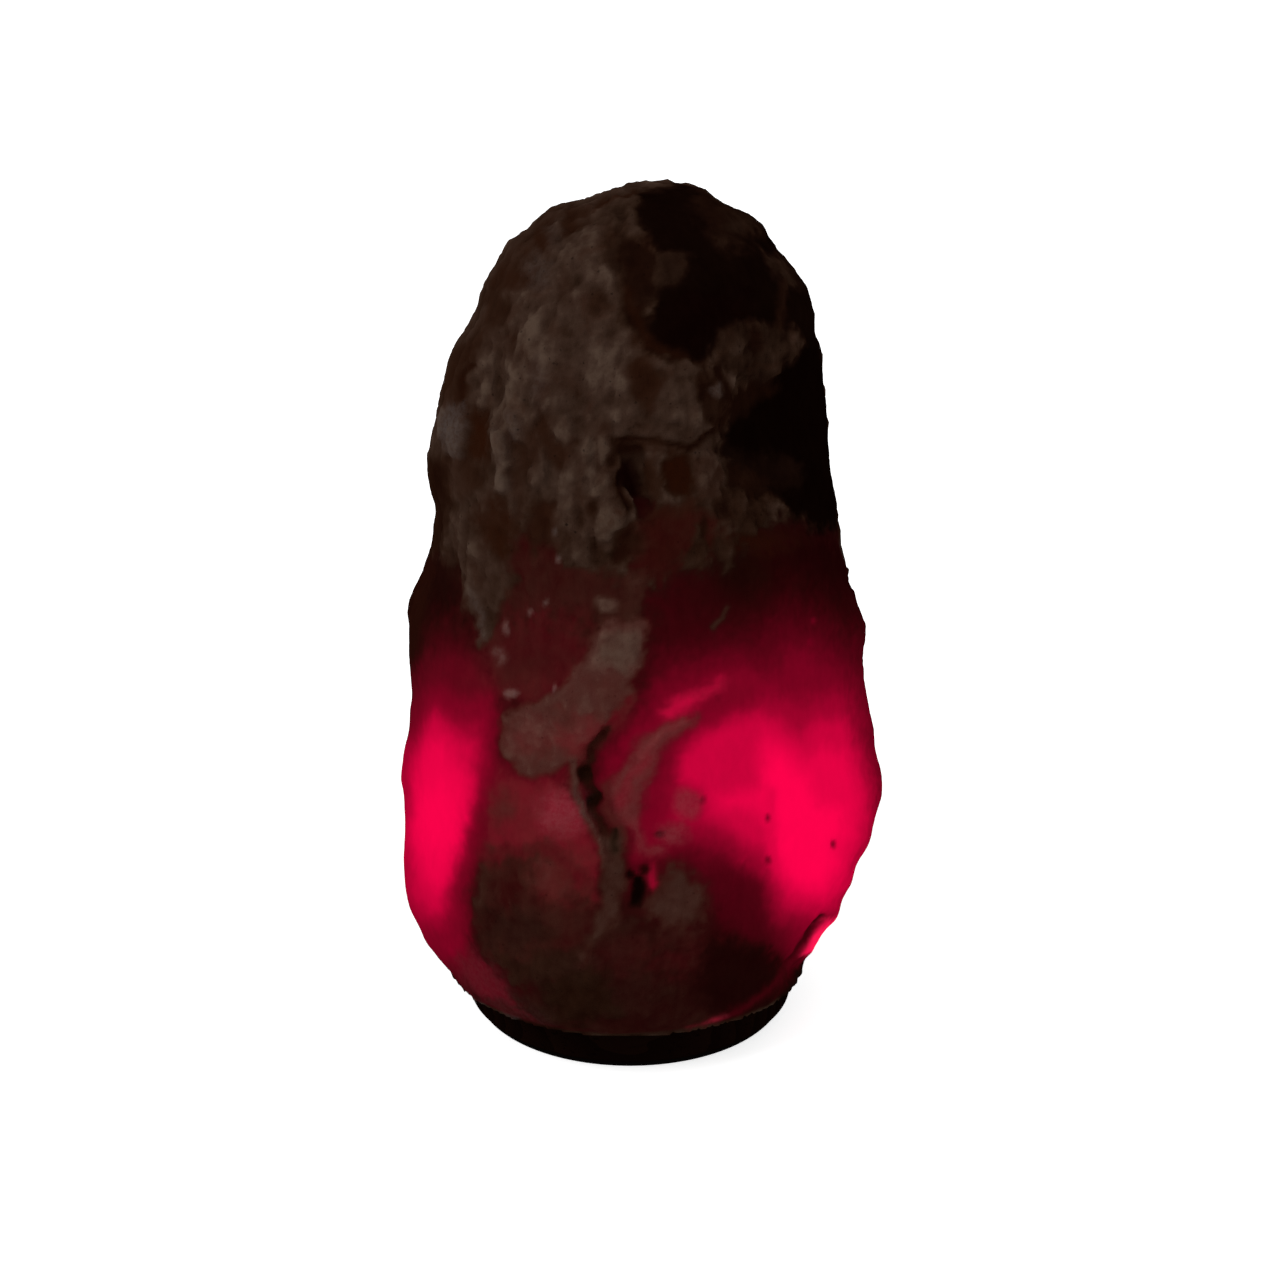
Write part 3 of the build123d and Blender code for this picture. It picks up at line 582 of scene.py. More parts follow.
@dataclass(frozen=True)
class SketchView:
    """The view in which the front's marks are laid out, and the camera that shares it."""

    eye: Place = (0.0014, -0.792, 0.4275)
    pitch: float = math.radians(21.8)
    focal: float = 3091.0
    picture: float = 1270.0
    sensor: float = 36.0
    clip: Span = (0.01, 50.0)
    sketch_corner: Span = (340.0, 140.0)
    sketch_scale: float = 0.64

    def sketch(self, points: np.ndarray) -> np.ndarray:
        """Finds where points fall on the sketch.

        Args:
            points: Places on the object, in metres, one to a row.

        Returns:
            Their sketch coordinates, across and down.
        """
        away = points - np.array(self.eye)
        ahead = np.array((0.0, math.cos(self.pitch), -math.sin(self.pitch)))
        above = np.array((0.0, math.sin(self.pitch), math.cos(self.pitch)))
        depth = away @ ahead
        across = self.picture / 2 + self.focal * away[:, 0] / depth
        down = self.picture / 2 - self.focal * (away @ above) / depth
        at = np.stack((across, down), axis=1)
        return (at - np.array(self.sketch_corner)) / self.sketch_scale

    def facing(self, points: np.ndarray, normals: np.ndarray) -> np.ndarray:
        """How squarely each point faces the eye.

        Args:
            points: Places on the object.
            normals: The surface's normals there.

        Returns:
            1 where it faces the eye, 0 on the outline, less behind.
        """
        towards = np.array(self.eye) - points
        towards /= np.linalg.norm(towards, axis=1, keepdims=True)
        return np.sum(towards * normals, axis=1)

    def add_camera(self) -> None:
        """Adds the scene's camera."""
        lens = bpy.data.cameras.new("view")
        lens.sensor_width = self.sensor
        lens.lens = self.focal * self.sensor / self.picture
        lens.clip_start, lens.clip_end = self.clip
        camera = bpy.data.objects.new("view", lens)
        camera.location = self.eye
        camera.rotation_euler = Euler((math.pi / 2 - self.pitch, 0.0, 0.0))
        bpy.context.scene.collection.objects.link(camera)
        bpy.context.scene.camera = camera


# ------------------------------------------------------------------ marks on the crystal


def eased(value: np.ndarray, low: float, high: float) -> np.ndarray:
    """Rises smoothly from 0 at low to 1 at high.

    Args:
        value: The values.
        low: Where the rise starts.
        high: Where it ends.

    Returns:
        The eased values.
    """
    share = np.clip((value - low) / (high - low), 0.0, 1.0)
    return share * share * (3.0 - 2.0 * share)


class Form(Enum):
    """How a mark's points are read: an outline, a line, or a centre and two radii."""

    AREA = "area"
    LINE = "line"
    SPOT = "spot"


@dataclass(frozen=True)
class Mark:
    """One feature of the crystal's front, laid out on the sketch.

    Its points are written across, down, across, down. Soft is the width of its edge and ragged how
    far that edge wanders, both on the sketch. Lift is in mm, and strength its share of the whole.
    The rest are the values that it paints, where None leaves what is there.
    """

    name: str
    form: Form
    points: tuple[float, ...]
    soft: float = 10.0
    ragged: float = 4.0
    lift: float = 0.0
    strength: float = 1.0
    tone: float | None = None
    glow: float | None = None
    amber: float | None = None
    grain: float | None = None
    pale: float | None = None

    def cover(self, places: np.ndarray) -> np.ndarray:
        """How much of the mark lies on each place.

        Args:
            places: Sketch coordinates, one to a row.

        Returns:
            0 off the mark to 1 on it.
        """
        ends = np.reshape(self.points, (-1, 2))
        if self.form is Form.SPOT:
            centre, radii = ends
            reach = np.linalg.norm((places - centre) / radii, axis=1)
            edge = SPOT_EDGE * self.soft / float(np.min(radii))
            return 1.0 - eased(reach, 1.0 - edge, 1.0 + edge)
        closed = self.form is Form.AREA
        if closed:
            ends = np.vstack((ends, ends[:1]))
        gap = np.full(len(places), np.inf)
        inside = np.zeros(len(places), dtype=bool)
        for start, last in zip(ends, ends[1:]):
            along = last - start
            share = np.clip((places - start) @ along / max(float(along @ along), TINY), 0.0, 1.0)
            gap = np.minimum(gap, np.linalg.norm(places - start - share[:, None] * along, axis=1))
            if closed and along[1] != 0:
                crosses = (start[1] > places[:, 1]) != (last[1] > places[:, 1])
                at = start[0] + (places[:, 1] - start[1]) * along[0] / along[1]
                inside ^= crosses & (places[:, 0] < at)
        if not closed:
            return np.exp(-((gap / self.soft) ** 2))
        edge = AREA_EDGE * self.soft
        return eased(np.where(inside, gap, -gap), -edge, edge)


AREA, LINE, SPOT = Form
MARKS: tuple[Mark, ...] = (
    # The clear red middle.
    Mark("left_low", AREA, (60, 660, 150, 640, 200, 700, 244, 760, 262, 870, 250, 990, 300, 1060,
         300, 1130, 200, 1180, 260, 1330, 330, 1420, 60, 1420), 24, 8, 0, 1, 0.16, 0.08, 0, 0.25),
    Mark("middle_left", AREA, (186, 690, 232, 690, 268, 612, 300, 600, 346, 640, 400, 655, 440, 690,
         416, 740, 388, 790, 352, 858, 298, 872, 252, 846, 234, 800, 214, 790, 205, 735), 20, 8,
         -0.3, 1, 0.38, 0.15, 0.1, 0.5),
    Mark("middle_left_red", SPOT, (316, 815, 70, 66), 44, 9, -0.2, 0.9, 0.36, 0.27, 0, 0.3),
    Mark("middle_left_low", SPOT, (300, 852, 62, 26), 24, 8, 0, 0.8, 0.42, 0.33),
    Mark("middle_right", AREA, (486, 690, 520, 656, 600, 668, 650, 610, 700, 590, 790, 600,
         826, 760, 840, 800, 640, 792, 560, 800, 486, 812), 30, 8, -0.3, 1, 0.12, 0.14, 0, 0.25),
    Mark("right_red_top", SPOT, (740, 670, 90, 58), 38, 8, 0, 1, 0.04, 0.1, 0, 0.2),
    Mark("middle_dark", SPOT, (640, 690, 46, 40), 30, 8, 0, 0.8, 0.1, 0.06, 0.2, 0.2),
    Mark("red_apron", AREA, (452, 610, 490, 575, 545, 560, 600, 590, 596, 640, 540, 660, 500, 690,
         452, 680), 16, 8, -0.2, 1, 0.34, 0.13, 0.3, 0.5),
    Mark("amber_shelf", SPOT, (650, 630, 50, 14), 14, 7, 0, 0.7, 0.3, 0.06, 0.9, 0.3),
    # Painted light through the salt, right of the ledge: each ring is brighter than the one round
    # it.
    Mark("right_light_1", AREA, (470, 700, 560, 720, 640, 735, 695, 690, 740, 705, 800, 745,
         850, 800, 860, 1100, 760, 1290, 690, 1310, 640, 1260, 600, 1215, 540, 1175, 470, 1175,
         440, 1100, 400, 1040, 395, 990, 430, 930, 474, 870, 488, 800), 50, 4, 0, 1, 0.08, 0.2, 0,
         0.2),
    Mark("right_light_2", AREA, (500, 806, 560, 798, 620, 782, 700, 744, 745, 752, 800, 782,
         850, 830, 870, 1000, 850, 1120, 770, 1260, 705, 1300, 668, 1262, 640, 1212, 600, 1180,
         550, 1142, 500, 1138, 462, 1160, 446, 1100, 440, 1048, 402, 1022, 404, 975, 432, 930,
         478, 866), 34, 3, 0, 1, 0.08, 0.33, 0, 0.15),
    Mark("right_light_3", AREA, (498, 852, 560, 828, 620, 812, 660, 832, 694, 806, 722, 794,
         762, 812, 806, 842, 826, 900, 848, 960, 850, 1080, 800, 1180, 742, 1262, 706, 1266,
         682, 1222, 650, 1166, 602, 1128, 548, 1102, 500, 1112, 466, 1118, 462, 1060, 476, 1020,
         500, 960, 520, 936, 470, 942, 430, 996, 410, 1004, 430, 950, 468, 900), 22, 3, 0, 1, 0.06,
         0.45, 0, 0.1),
    Mark("right_light_4", AREA, (604, 900, 646, 880, 664, 866, 722, 878, 762, 862, 794, 868,
         814, 930, 834, 984, 838, 1050, 820, 1105, 796, 1160, 772, 1206, 740, 1222, 700, 1216,
         678, 1186, 650, 1138, 620, 1116, 572, 1084, 545, 1078, 516, 1064, 524, 1004, 540, 950,
         560, 920), 18, 3, 0, 1, 0.05, 0.6, 0, 0.08),
    Mark("right_light_5", AREA, (622, 904, 652, 896, 684, 906, 720, 930, 748, 904, 792, 906,
         812, 960, 826, 1020, 828, 1060, 808, 1112, 788, 1160, 766, 1192, 740, 1204, 700, 1196,
         680, 1162, 662, 1112, 606, 1078, 572, 1056, 560, 1012, 530, 998, 532, 960, 572, 926), 13,
         2, 0, 1, 0.05, 0.77, 0, 0.06),
    Mark("right_light_6", AREA, (650, 944, 662, 928, 700, 944, 730, 966, 752, 948, 792, 956,
         802, 992, 812, 1050, 800, 1100, 780, 1160, 752, 1184, 702, 1170, 682, 1130, 668, 1072,
         640, 1050, 602, 1046, 590, 1030, 620, 1018, 652, 1010), 14, 2, 0, 1, 0.05, 0.89, 0, 0.05),
    Mark("right_light_7", AREA, (664, 990, 672, 966, 690, 962, 730, 1000, 746, 1038, 782, 1046,
         786, 1082, 768, 1102, 774, 1130, 756, 1166, 730, 1168, 700, 1150, 686, 1120, 676, 1060),
         15, 2, 0, 1, 0.05, 0.99, 0, 0.05),
    Mark("right_light_edge", LINE, (674, 1020, 674, 1080, 675, 1130), 9, 2, 0.3, 0.6, 0.05, 0.84, 0,
         0.05),
    Mark("right_shade", AREA, (592, 1128, 640, 1152, 664, 1175, 667, 1238, 640, 1262, 590, 1215,
         570, 1160), 13, 6, 0, 0.7, 0.05, 0.27, 0, 0.15),
    # Painted light through the left side.
    Mark("left_light_1", AREA, (98, 810, 128, 760, 175, 735, 200, 755, 236, 770, 300, 770, 370, 800,
         350, 850, 262, 872, 250, 960, 300, 985, 352, 970, 380, 1030, 404, 1100, 402, 1150,
         330, 1130, 220, 1150, 212, 1250, 250, 1330, 300, 1390, 60, 1350, 60, 900), 34, 4, 0, 1,
         None, 0.21),
    Mark("left_light_2", AREA, (124, 820, 150, 800, 172, 792, 196, 806, 222, 816, 242, 840,
         250, 900, 248, 960, 300, 990, 345, 985, 372, 1040, 400, 1100, 396, 1150, 350, 1130,
         290, 1106, 222, 1118, 206, 1180, 198, 1250, 214, 1300, 180, 1310, 60, 1250, 60, 900), 22,
         3, 0, 1, None, 0.34, 0, 0.15),
    Mark("left_light_3", AREA, (112, 890, 130, 866, 160, 850, 182, 866, 202, 872, 234, 866,
         242, 900, 240, 960, 232, 1030, 216, 1076, 206, 1130, 192, 1190, 196, 1250, 190, 1292,
         160, 1284, 80, 1220, 70, 1000, 92, 930), 15, 2, 0, 1, 0.08, 0.46, 0, 0.1),
    Mark("left_light_4", AREA, (108, 940, 130, 905, 150, 885, 176, 908, 192, 915, 216, 910,
         222, 940, 216, 1010, 202, 1050, 192, 1100, 180, 1150, 168, 1202, 160, 1232, 130, 1226,
         98, 1190, 80, 1120, 80, 1000), 13, 2, 0, 1, 0.06, 0.6, 0, 0.08),
    Mark("left_light_5", AREA, (113, 960, 130, 920, 150, 896, 180, 930, 196, 940, 208, 942,
         206, 1000, 193, 1060, 181, 1110, 170, 1160, 160, 1206, 140, 1206, 118, 1180, 104, 1120,
         100, 1040), 12, 2, 0, 1, 0.05, 0.78, 0, 0.06),
    Mark("left_light_6", AREA, (120, 980, 140, 940, 164, 938, 182, 975, 201, 1000, 200, 1050,
         186, 1100, 170, 1150, 150, 1172, 130, 1152, 110, 1100, 110, 1040), 14, 2, 0, 1, 0.05, 0.91,
         0, 0.05),
    Mark("left_light_7", SPOT, (152, 1060, 30, 52), 16, 4, 0, 1, 0.05, 0.97, 0, 0.05),
    Mark("left_edge_shade", LINE, (96, 950, 94, 1000, 97, 1050), 12, 3, 0, 0.9, 0.05, 0.62, 0,
         0.05),
    Mark("left_foot_pink", AREA, (176, 1285, 204, 1262, 240, 1288, 262, 1330, 330, 1378, 300, 1392,
         215, 1345), 14, 5, 0, 0.9, 0.24, 0.33, 0, 0.3, 0.1),
    Mark("left_bump_dark", AREA, (92, 745, 118, 690, 142, 650, 158, 600, 152, 680, 134, 735,
         120, 800, 108, 830), 10, 4, 0, 0.9, 0.26, 0.08, 0.3, 0.4),
    # The left rim of the upper half, brown and amber.
    Mark("left_rim", LINE, (330, 112, 286, 166, 252, 222, 226, 280, 192, 336), 20, 8, 0, 1, 0.58, 0,
         0.3, 0.6),
    Mark("rim_amber_high", SPOT, (316, 158, 15, 20), 8, 5, -0.3, 1, 0.5, 0, 0.55, 0.4),
    Mark("rim_amber_mid", SPOT, (272, 216, 20, 18), 9, 5, -0.3, 1, 0.52, 0, 0.5, 0.4),
    Mark("rim_brown", SPOT, (248, 262, 14, 26), 9, 5, -0.3, 1, 0.46, 0, 0.3, 0.4),
    Mark("rim_edge", LINE, (222, 262, 202, 300, 176, 330), 7, 3, 0.2, 0.9, 0.66, 0, 0, 0.6),
    Mark("rim_low", AREA, (168, 330, 205, 320, 212, 350, 196, 392, 170, 420, 152, 420, 158, 370), 9,
         5, 0, 1, 0.52, 0, 0.35, 0.5),
    Mark("rim_groove", LINE, (208, 352, 194, 376, 184, 398), 6, 4, -0.6, 0.9, 0.28, 0, 0.4),
    Mark("rim_bottom", AREA, (132, 500, 160, 500, 172, 560, 160, 640, 146, 640, 140, 580), 8, 4, 0,
         1, 0.36, 0, 0.25, 0.4),
    # The clear dark hollow of the upper right.
    Mark("grey_flank", AREA, (420, 132, 448, 150, 470, 150, 498, 176, 500, 236, 486, 262, 462, 300,
         440, 290, 432, 240, 418, 190), 12, 7, -0.3, 1, 0.24, 0, 0.1, 0.6),
    Mark("clear_top_right", AREA, (466, 84, 545, 60, 612, 92, 672, 125, 702, 175, 755, 250,
         757, 300, 700, 292, 640, 282, 592, 300, 572, 342, 520, 352, 488, 340, 472, 300, 490, 262,
         500, 234, 532, 224, 540, 182, 500, 168, 482, 150, 462, 118), 10, 9, -0.5, 1, 0.07, 0, 0,
         0.15),
    Mark("clear_heart", AREA, (520, 240, 600, 226, 650, 240, 650, 280, 590, 298, 566, 338, 520, 344,
         490, 330, 496, 280), 12, 8, -0.2, 1, 0.02, 0.035, 0, 0.1),
    Mark("clear_brow", AREA, (556, 66, 612, 92, 660, 122, 640, 168, 596, 160, 560, 120), 14, 9, 0,
         1, 0.3, 0, 0.1, 0.4),
    Mark("brow_patch", SPOT, (620, 142, 30, 22), 12, 7, 0.2, 0.9, 0.44, 0, 0, 0.4),
    Mark("right_rim_grey", AREA, (660, 165, 690, 180, 712, 205, 720, 236, 696, 232, 676, 205), 8, 6,
         0.2, 1, 0.5, 0, 0, 0.4),
    Mark("right_rim_streak", LINE, (694, 226, 692, 262, 688, 292), 8, 4, 0.3, 0.9, 0.4, 0, 0.2,
         0.4),
    Mark("right_rim_dark", AREA, (704, 240, 760, 230, 770, 330, 742, 340, 712, 300), 8, 5, 0, 1,
         0.1, 0, 0, 0.2),
    Mark("pale_island", AREA, (496, 172, 524, 166, 543, 180, 545, 204, 530, 232, 504, 236,
         492, 206), 6, 7, 0.3, 1, 0.4, 0, 0, 0.5),
    Mark("amber_seam", LINE, (446, 236, 468, 290, 500, 334, 560, 352), 9, 6, -0.3, 0.8, 0.3, 0, 0.5,
         0.4),
    # The right flank is painted near black: partly dark clear salt, partly painted shade of the
    # side turned from the light.
    Mark("clear_flank_in_painted_shade", AREA, (610, 402, 646, 398, 700, 340, 742, 306, 775, 330, 790, 480, 800, 600,
         740, 606, 690, 575, 650, 540, 604, 486, 596, 460, 616, 440), 11, 9, -0.4, 1, 0.01, 0, 0,
         0.12),
    Mark("flank_brown", AREA, (576, 350, 600, 352, 612, 400, 660, 372, 690, 384, 648, 404, 616, 440,
         588, 440), 8, 7, 0, 1, 0.18, 0, 0.2, 0.4),
    Mark("flank_streaks", AREA, (590, 470, 640, 486, 700, 500, 720, 530, 700, 552, 650, 540,
         610, 512), 12, 9, 0.1, 1, 0.17, 0, 0, 0.4),
    Mark("flank_fleck", SPOT, (700, 512, 17, 15), 9, 6, 0.1, 0.9, 0.28, 0, 0, 0.3),
    Mark("crust_patch_right", AREA, (600, 296, 640, 285, 700, 298, 706, 324, 690, 362, 655, 382,
         628, 378, 606, 356, 586, 350, 590, 318), 5, 7, 1.1, 1, 0.42, 0, 0, 0.8),
    Mark("patch_lump_left", SPOT, (612, 318, 14, 22), 7, 5, 0.5, 0.9, 0.54),
    Mark("patch_lump_right", SPOT, (668, 336, 20, 22), 9, 6, 0.5, 0.9, 0.5),
    Mark("patch_notch", SPOT, (642, 316, 9, 20), 6, 4, -0.8, 0.9, 0.24, 0, 0.2),
    # The pale crust of the upper left and its stains.
    Mark("crust_amber_top", AREA, (352, 108, 384, 98, 392, 112, 376, 138, 352, 142), 6, 6, -0.5,
         0.9, 0.48, 0, 0.4, 0.6),
    Mark("crust_seam_top", LINE, (392, 98, 430, 92, 458, 84), 7, 5, -0.2, 0.9, 0.5, 0, 0.6),
    Mark("crust_pale_top", SPOT, (332, 142, 13, 20), 8, 5, 0.3, 0.9, 0.84, pale=0.1),
    Mark("crust_pale_nose", AREA, (400, 104, 462, 92, 466, 130, 452, 148, 428, 130, 404, 124), 7, 6,
         0.4, 1, 0.62, 0, 0, 0.8),
    Mark("top_pit", SPOT, (358, 130, 8, 16), 6, 4, -0.7, 0.9, 0.42, 0, 0.5),
    Mark("crust_groove", LINE, (436, 118, 430, 160, 434, 250), 10, 5, -0.9, 0.8, 0.5),
    Mark("crust_light_one", SPOT, (396, 210, 30, 66), 22, 9, 0.2, 0.6, 0.74),
    Mark("crust_light_two", SPOT, (300, 260, 28, 40), 18, 9, 0.2, 0.8, 0.82),
    Mark("crust_stain_one", SPOT, (308, 206, 20, 24), 11, 7, -0.3, 0.8, 0.68, pale=0.2),
    Mark("crust_stain_two", SPOT, (352, 222, 8, 24), 8, 5, -0.4, 0.8, 0.62, 0, 0.4),
    Mark("crust_stain_three", SPOT, (386, 248, 26, 14), 9, 7, -0.2, 0.7, 0.66, 0, 0.4),
    Mark("crust_stain_four", SPOT, (268, 320, 26, 20), 14, 8, 0, 0.6, 0.68, 0, 0.4),
    Mark("crust_light_four", SPOT, (330, 300, 46, 22), 16, 9, 0.2, 0.8, 0.82),
    Mark("crust_light_five", SPOT, (436, 322, 30, 16), 10, 7, 0.3, 0.9, 0.88),
    Mark("crust_light_six", AREA, (376, 372, 400, 344, 440, 350, 442, 400, 430, 416, 392, 404), 8,
         6, 0.9, 1, 0.82),
    Mark("crust_lump_seven", SPOT, (308, 378, 12, 32), 9, 5, 0.4, 0.8, 0.72, pale=0.2),
    Mark("crust_lump_eight", SPOT, (246, 366, 28, 24), 12, 7, 0.3, 0.7, 0.68),
    Mark("crust_amber_mid", AREA, (452, 346, 482, 340, 502, 372, 498, 420, 480, 436, 462, 396,
         446, 370), 8, 7, -0.4, 0.9, 0.48, 0, 0.45, 0.6),
    Mark("crust_amber_two", SPOT, (356, 366, 24, 26), 12, 7, -0.2, 0.5, 0.66, 0, 0.4),
    Mark("crust_wedge", AREA, (510, 358, 540, 342, 566, 350, 570, 380, 560, 420, 566, 448, 540, 474,
         516, 466, 502, 440, 504, 400), 4, 6, 0.8, 1, 0.64, 0, 0, 0.9),
    Mark("wedge_side", AREA, (566, 352, 592, 380, 606, 440, 590, 462, 566, 446, 560, 420), 6, 7,
         0.2, 1, 0.34, 0, 0.2, 0.7),
    Mark("wedge_fleck", SPOT, (590, 390, 9, 11), 4, 4, 0.4, 1, 0.7, pale=0.3),
    Mark("wedge_left_crust", AREA, (440, 410, 474, 408, 486, 436, 502, 452, 470, 464, 448, 446), 6,
         6, 0.5, 1, 0.64, 0, 0.1, 0.9),
    Mark("under_wedge_shade", LINE, (440, 468, 470, 470, 508, 474, 548, 482, 580, 456), 6, 4, -0.9,
         0.95, 0.2, 0, 0.3),
    Mark("ledge_tan", LINE, (466, 480, 496, 482, 520, 486), 8, 5, 0.2, 0.9, 0.56, 0, 0.3),
    # The flutes: pale ridges between amber grooves, the ridges painted lighter and the grooves
    # darker, partly as painted light and shade.
    Mark("ridge_start", AREA, (222, 374, 240, 384, 244, 412, 232, 416), 5, 4, 0.6, 1, 0.86),
    Mark("groove_one", AREA, (202, 420, 226, 424, 234, 470, 226, 500, 206, 500, 196, 470), 8, 6,
         -1.1, 1, 0.5, 0, 0.75, 0.5),
    Mark("groove_one_low", AREA, (160, 500, 226, 500, 222, 548, 176, 560), 10, 7, -0.3, 1, 0.6, 0,
         0.35, 0.5),
    Mark("groove_two", AREA, (260, 462, 284, 470, 306, 440, 312, 480, 292, 512, 284, 552, 300, 600,
         272, 590, 268, 520), 7, 6, -1.1, 1, 0.62, 0, 0.4, 0.5),
    Mark("groove_three", AREA, (308, 410, 320, 440, 336, 470, 362, 470, 366, 500, 344, 520,
         318, 500, 306, 460), 7, 6, -1, 1, 0.54, 0, 0.45, 0.5),
    Mark("groove_four", AREA, (302, 560, 340, 556, 336, 620, 310, 650, 292, 620), 10, 7, -0.9, 1,
         0.46, 0.04, 0.4, 0.5),
    Mark("ridge_two_top", AREA, (262, 424, 284, 426, 286, 458, 268, 470), 5, 4, 1.4, 1, 0.98,
         pale=0.2),
    Mark("ridge_two", AREA, (236, 452, 256, 456, 262, 500, 270, 544, 250, 552, 242, 510), 5, 4, 1.5,
         1, 0.98, pale=0.1),
    Mark("ridge_three", AREA, (296, 500, 318, 504, 322, 524, 304, 544, 288, 536), 5, 5, 1.2, 1,
         0.74),
    Mark("ridge_mid", LINE, (330, 420, 348, 440, 352, 470), 9, 5, 0.4, 0.9, 0.78),
    Mark("ridge_four", LINE, (390, 398, 388, 450, 380, 500, 374, 552), 7, 3, 1, 1, 0.86, 0, 0.25,
         0.8),
    Mark("ridge_four_foot", AREA, (352, 520, 376, 516, 372, 566, 350, 600, 338, 640, 322, 620,
         340, 570), 6, 5, 1, 1, 0.74),
    Mark("ridge_five", AREA, (176, 578, 206, 580, 212, 640, 196, 690, 182, 660), 7, 5, 0.9, 1, 0.8,
         0, 0.1),
    Mark("frost_left", AREA, (160, 420, 190, 408, 196, 452, 186, 498, 166, 490, 156, 452), 6, 4,
         0.7, 1, 0.76, 0, 0, 0.7, 0.36),
    Mark("frost_heart", SPOT, (172, 448, 9, 18), 7, 3, 0.3, 1, 0.85, pale=0.55),
    Mark("amber_left", AREA, (218, 568, 250, 558, 270, 590, 268, 640, 244, 660, 222, 640, 212, 600),
         11, 9, -0.5, 0.9, 0.5, 0.03, 0.7, 0.5),
    Mark("crust_lower_left", AREA, (190, 640, 232, 650, 258, 668, 276, 688, 252, 722, 238, 772,
         222, 792, 206, 742, 190, 690), 7, 6, 0.4, 1, 0.72, 0.04, 0.1, 0.7),
    Mark("white_streak", LINE, (206, 700, 216, 740, 222, 780), 6, 4, 0.4, 1, 0.9, pale=0.2),
    Mark("white_streak_low", LINE, (246, 800, 252, 812), 7, 3, 0.3, 1, 0.85, pale=0.3),
    # The knob, the hollow beside it and the ragged crust to its right.
    Mark("knob_stem", AREA, (400, 440, 424, 446, 432, 470, 430, 500, 436, 540, 426, 560, 404, 556,
         396, 500), 5, 5, 0.3, 1, 0.68, 0, 0.3, 1),
    Mark("knob_crust", AREA, (346, 600, 366, 560, 392, 548, 430, 562, 450, 576, 446, 600, 436, 650,
         400, 668, 352, 668, 332, 640), 6, 7, 0.5, 1, 0.7, 0, 0.2, 1),
    # The knob's lumps are painted at the palest tone, partly pale crust and partly painted
    # highlight, and its pits and the line beside it darker as painted shade.
    Mark("knob_lump_top", SPOT, (412, 482, 11, 17), 6, 4, 1.9, 1, 1),
    Mark("knob_lump_mid", SPOT, (414, 528, 11, 15), 5, 4, 2, 1, 1),
    Mark("knob_lump_left", SPOT, (402, 548, 9, 11), 5, 4, 1.4, 1, 0.95),
    Mark("knob_lump_low", AREA, (396, 590, 420, 570, 446, 576, 440, 596, 424, 606, 412, 626,
         392, 612), 5, 5, 2, 1, 1),
    Mark("knob_lump_side", SPOT, (372, 640, 24, 16), 9, 6, 0.9, 0.8, 0.84),
    Mark("knob_pit", SPOT, (392, 576, 7, 14), 5, 3, -1.2, 1, 0.36, 0, 0.4),
    Mark("knob_pit_two", SPOT, (424, 502, 7, 12), 5, 3, -1.2, 1, 0.3, 0, 0.3),
    Mark("knob_shade", LINE, (440, 520, 438, 556, 452, 574), 6, 3, -1.3, 0.95, 0.2, 0, 0.3),
    Mark("hollow_roof", AREA, (428, 466, 456, 474, 474, 490, 450, 496, 430, 492), 6, 4, -0.8, 1,
         0.3, 0, 0.3, 0.4),
    Mark("hollow", AREA, (436, 500, 452, 504, 464, 530, 476, 560, 460, 562, 440, 540), 6, 4, -0.6,
         1, 0.04, 0.05, 0, 0.2),
    Mark("hollow_low", AREA, (458, 560, 486, 556, 494, 580, 486, 600, 464, 590), 6, 4, -0.5, 1, 0.1,
         0.11, 0, 0.2),
    Mark("hollow_foot", AREA, (430, 610, 456, 600, 470, 626, 452, 660, 432, 666), 8, 6, -0.8, 1,
         0.3, 0.05, 0.3, 0.5),
    Mark("bridge_crust", AREA, (468, 500, 494, 496, 502, 530, 500, 562, 482, 566, 470, 540), 6, 6,
         0.3, 1, 0.56, 0, 0.4, 0.6),
    Mark("amber_window", SPOT, (531, 524, 26, 32), 9, 7, -0.8, 1, 0.24, 0.03, 0.7, 0.15),
    Mark("under_window", LINE, (486, 588, 530, 580, 556, 566), 11, 6, 0.2, 0.8, 0.52, 0.08, 0.5),
    Mark("golden_edge", AREA, (558, 498, 582, 482, 594, 510, 600, 544, 580, 556, 562, 560,
         556, 530), 5, 6, 1, 1, 0.8, 0, 0.45, 0.9),
    Mark("ragged_crust", AREA, (580, 560, 604, 540, 640, 538, 660, 556, 662, 602, 640, 618,
         622, 620, 608, 604, 590, 590), 5, 8, 1, 1, 0.47, 0, 0.2, 0.9),
    Mark("ragged_brown", AREA, (604, 506, 650, 512, 672, 540, 650, 552, 612, 540), 8, 8, 0.1, 1,
         0.3, 0, 0.2, 0.5),
    Mark("ragged_points", AREA, (556, 600, 572, 604, 574, 640, 560, 668, 540, 668, 536, 652,
         552, 632), 4, 7, 0.4, 1, 0.52, 0.02, 0.2, 0.8),
    Mark("ragged_point_two", AREA, (588, 620, 606, 634, 616, 662, 596, 656, 582, 640), 4, 6, 0.4, 1,
         0.5, 0.02, 0.2, 0.8),
    Mark("ragged_pit", SPOT, (568, 606, 5, 15), 4, 3, -0.8, 0.9, 0.2, 0, 0.4),
    # The arc, the streak and the ring in the right light.
    Mark("upper_streak", AREA, (496, 892, 520, 870, 560, 858, 594, 838, 606, 846, 584, 866,
         550, 886, 510, 902), 9, 5, 0.2, 1, 0.12, 0.68, 0, 0.1, 0.05),
    Mark("streak_haze", AREA, (560, 866, 600, 838, 640, 828, 656, 846, 640, 872, 596, 882), 10, 6,
         0.1, 0.6, 0.14, 0.47, 0, 0.2),
    Mark("pale_arc", AREA, (424, 1030, 428, 1000, 448, 970, 476, 930, 512, 906, 556, 898, 545, 918,
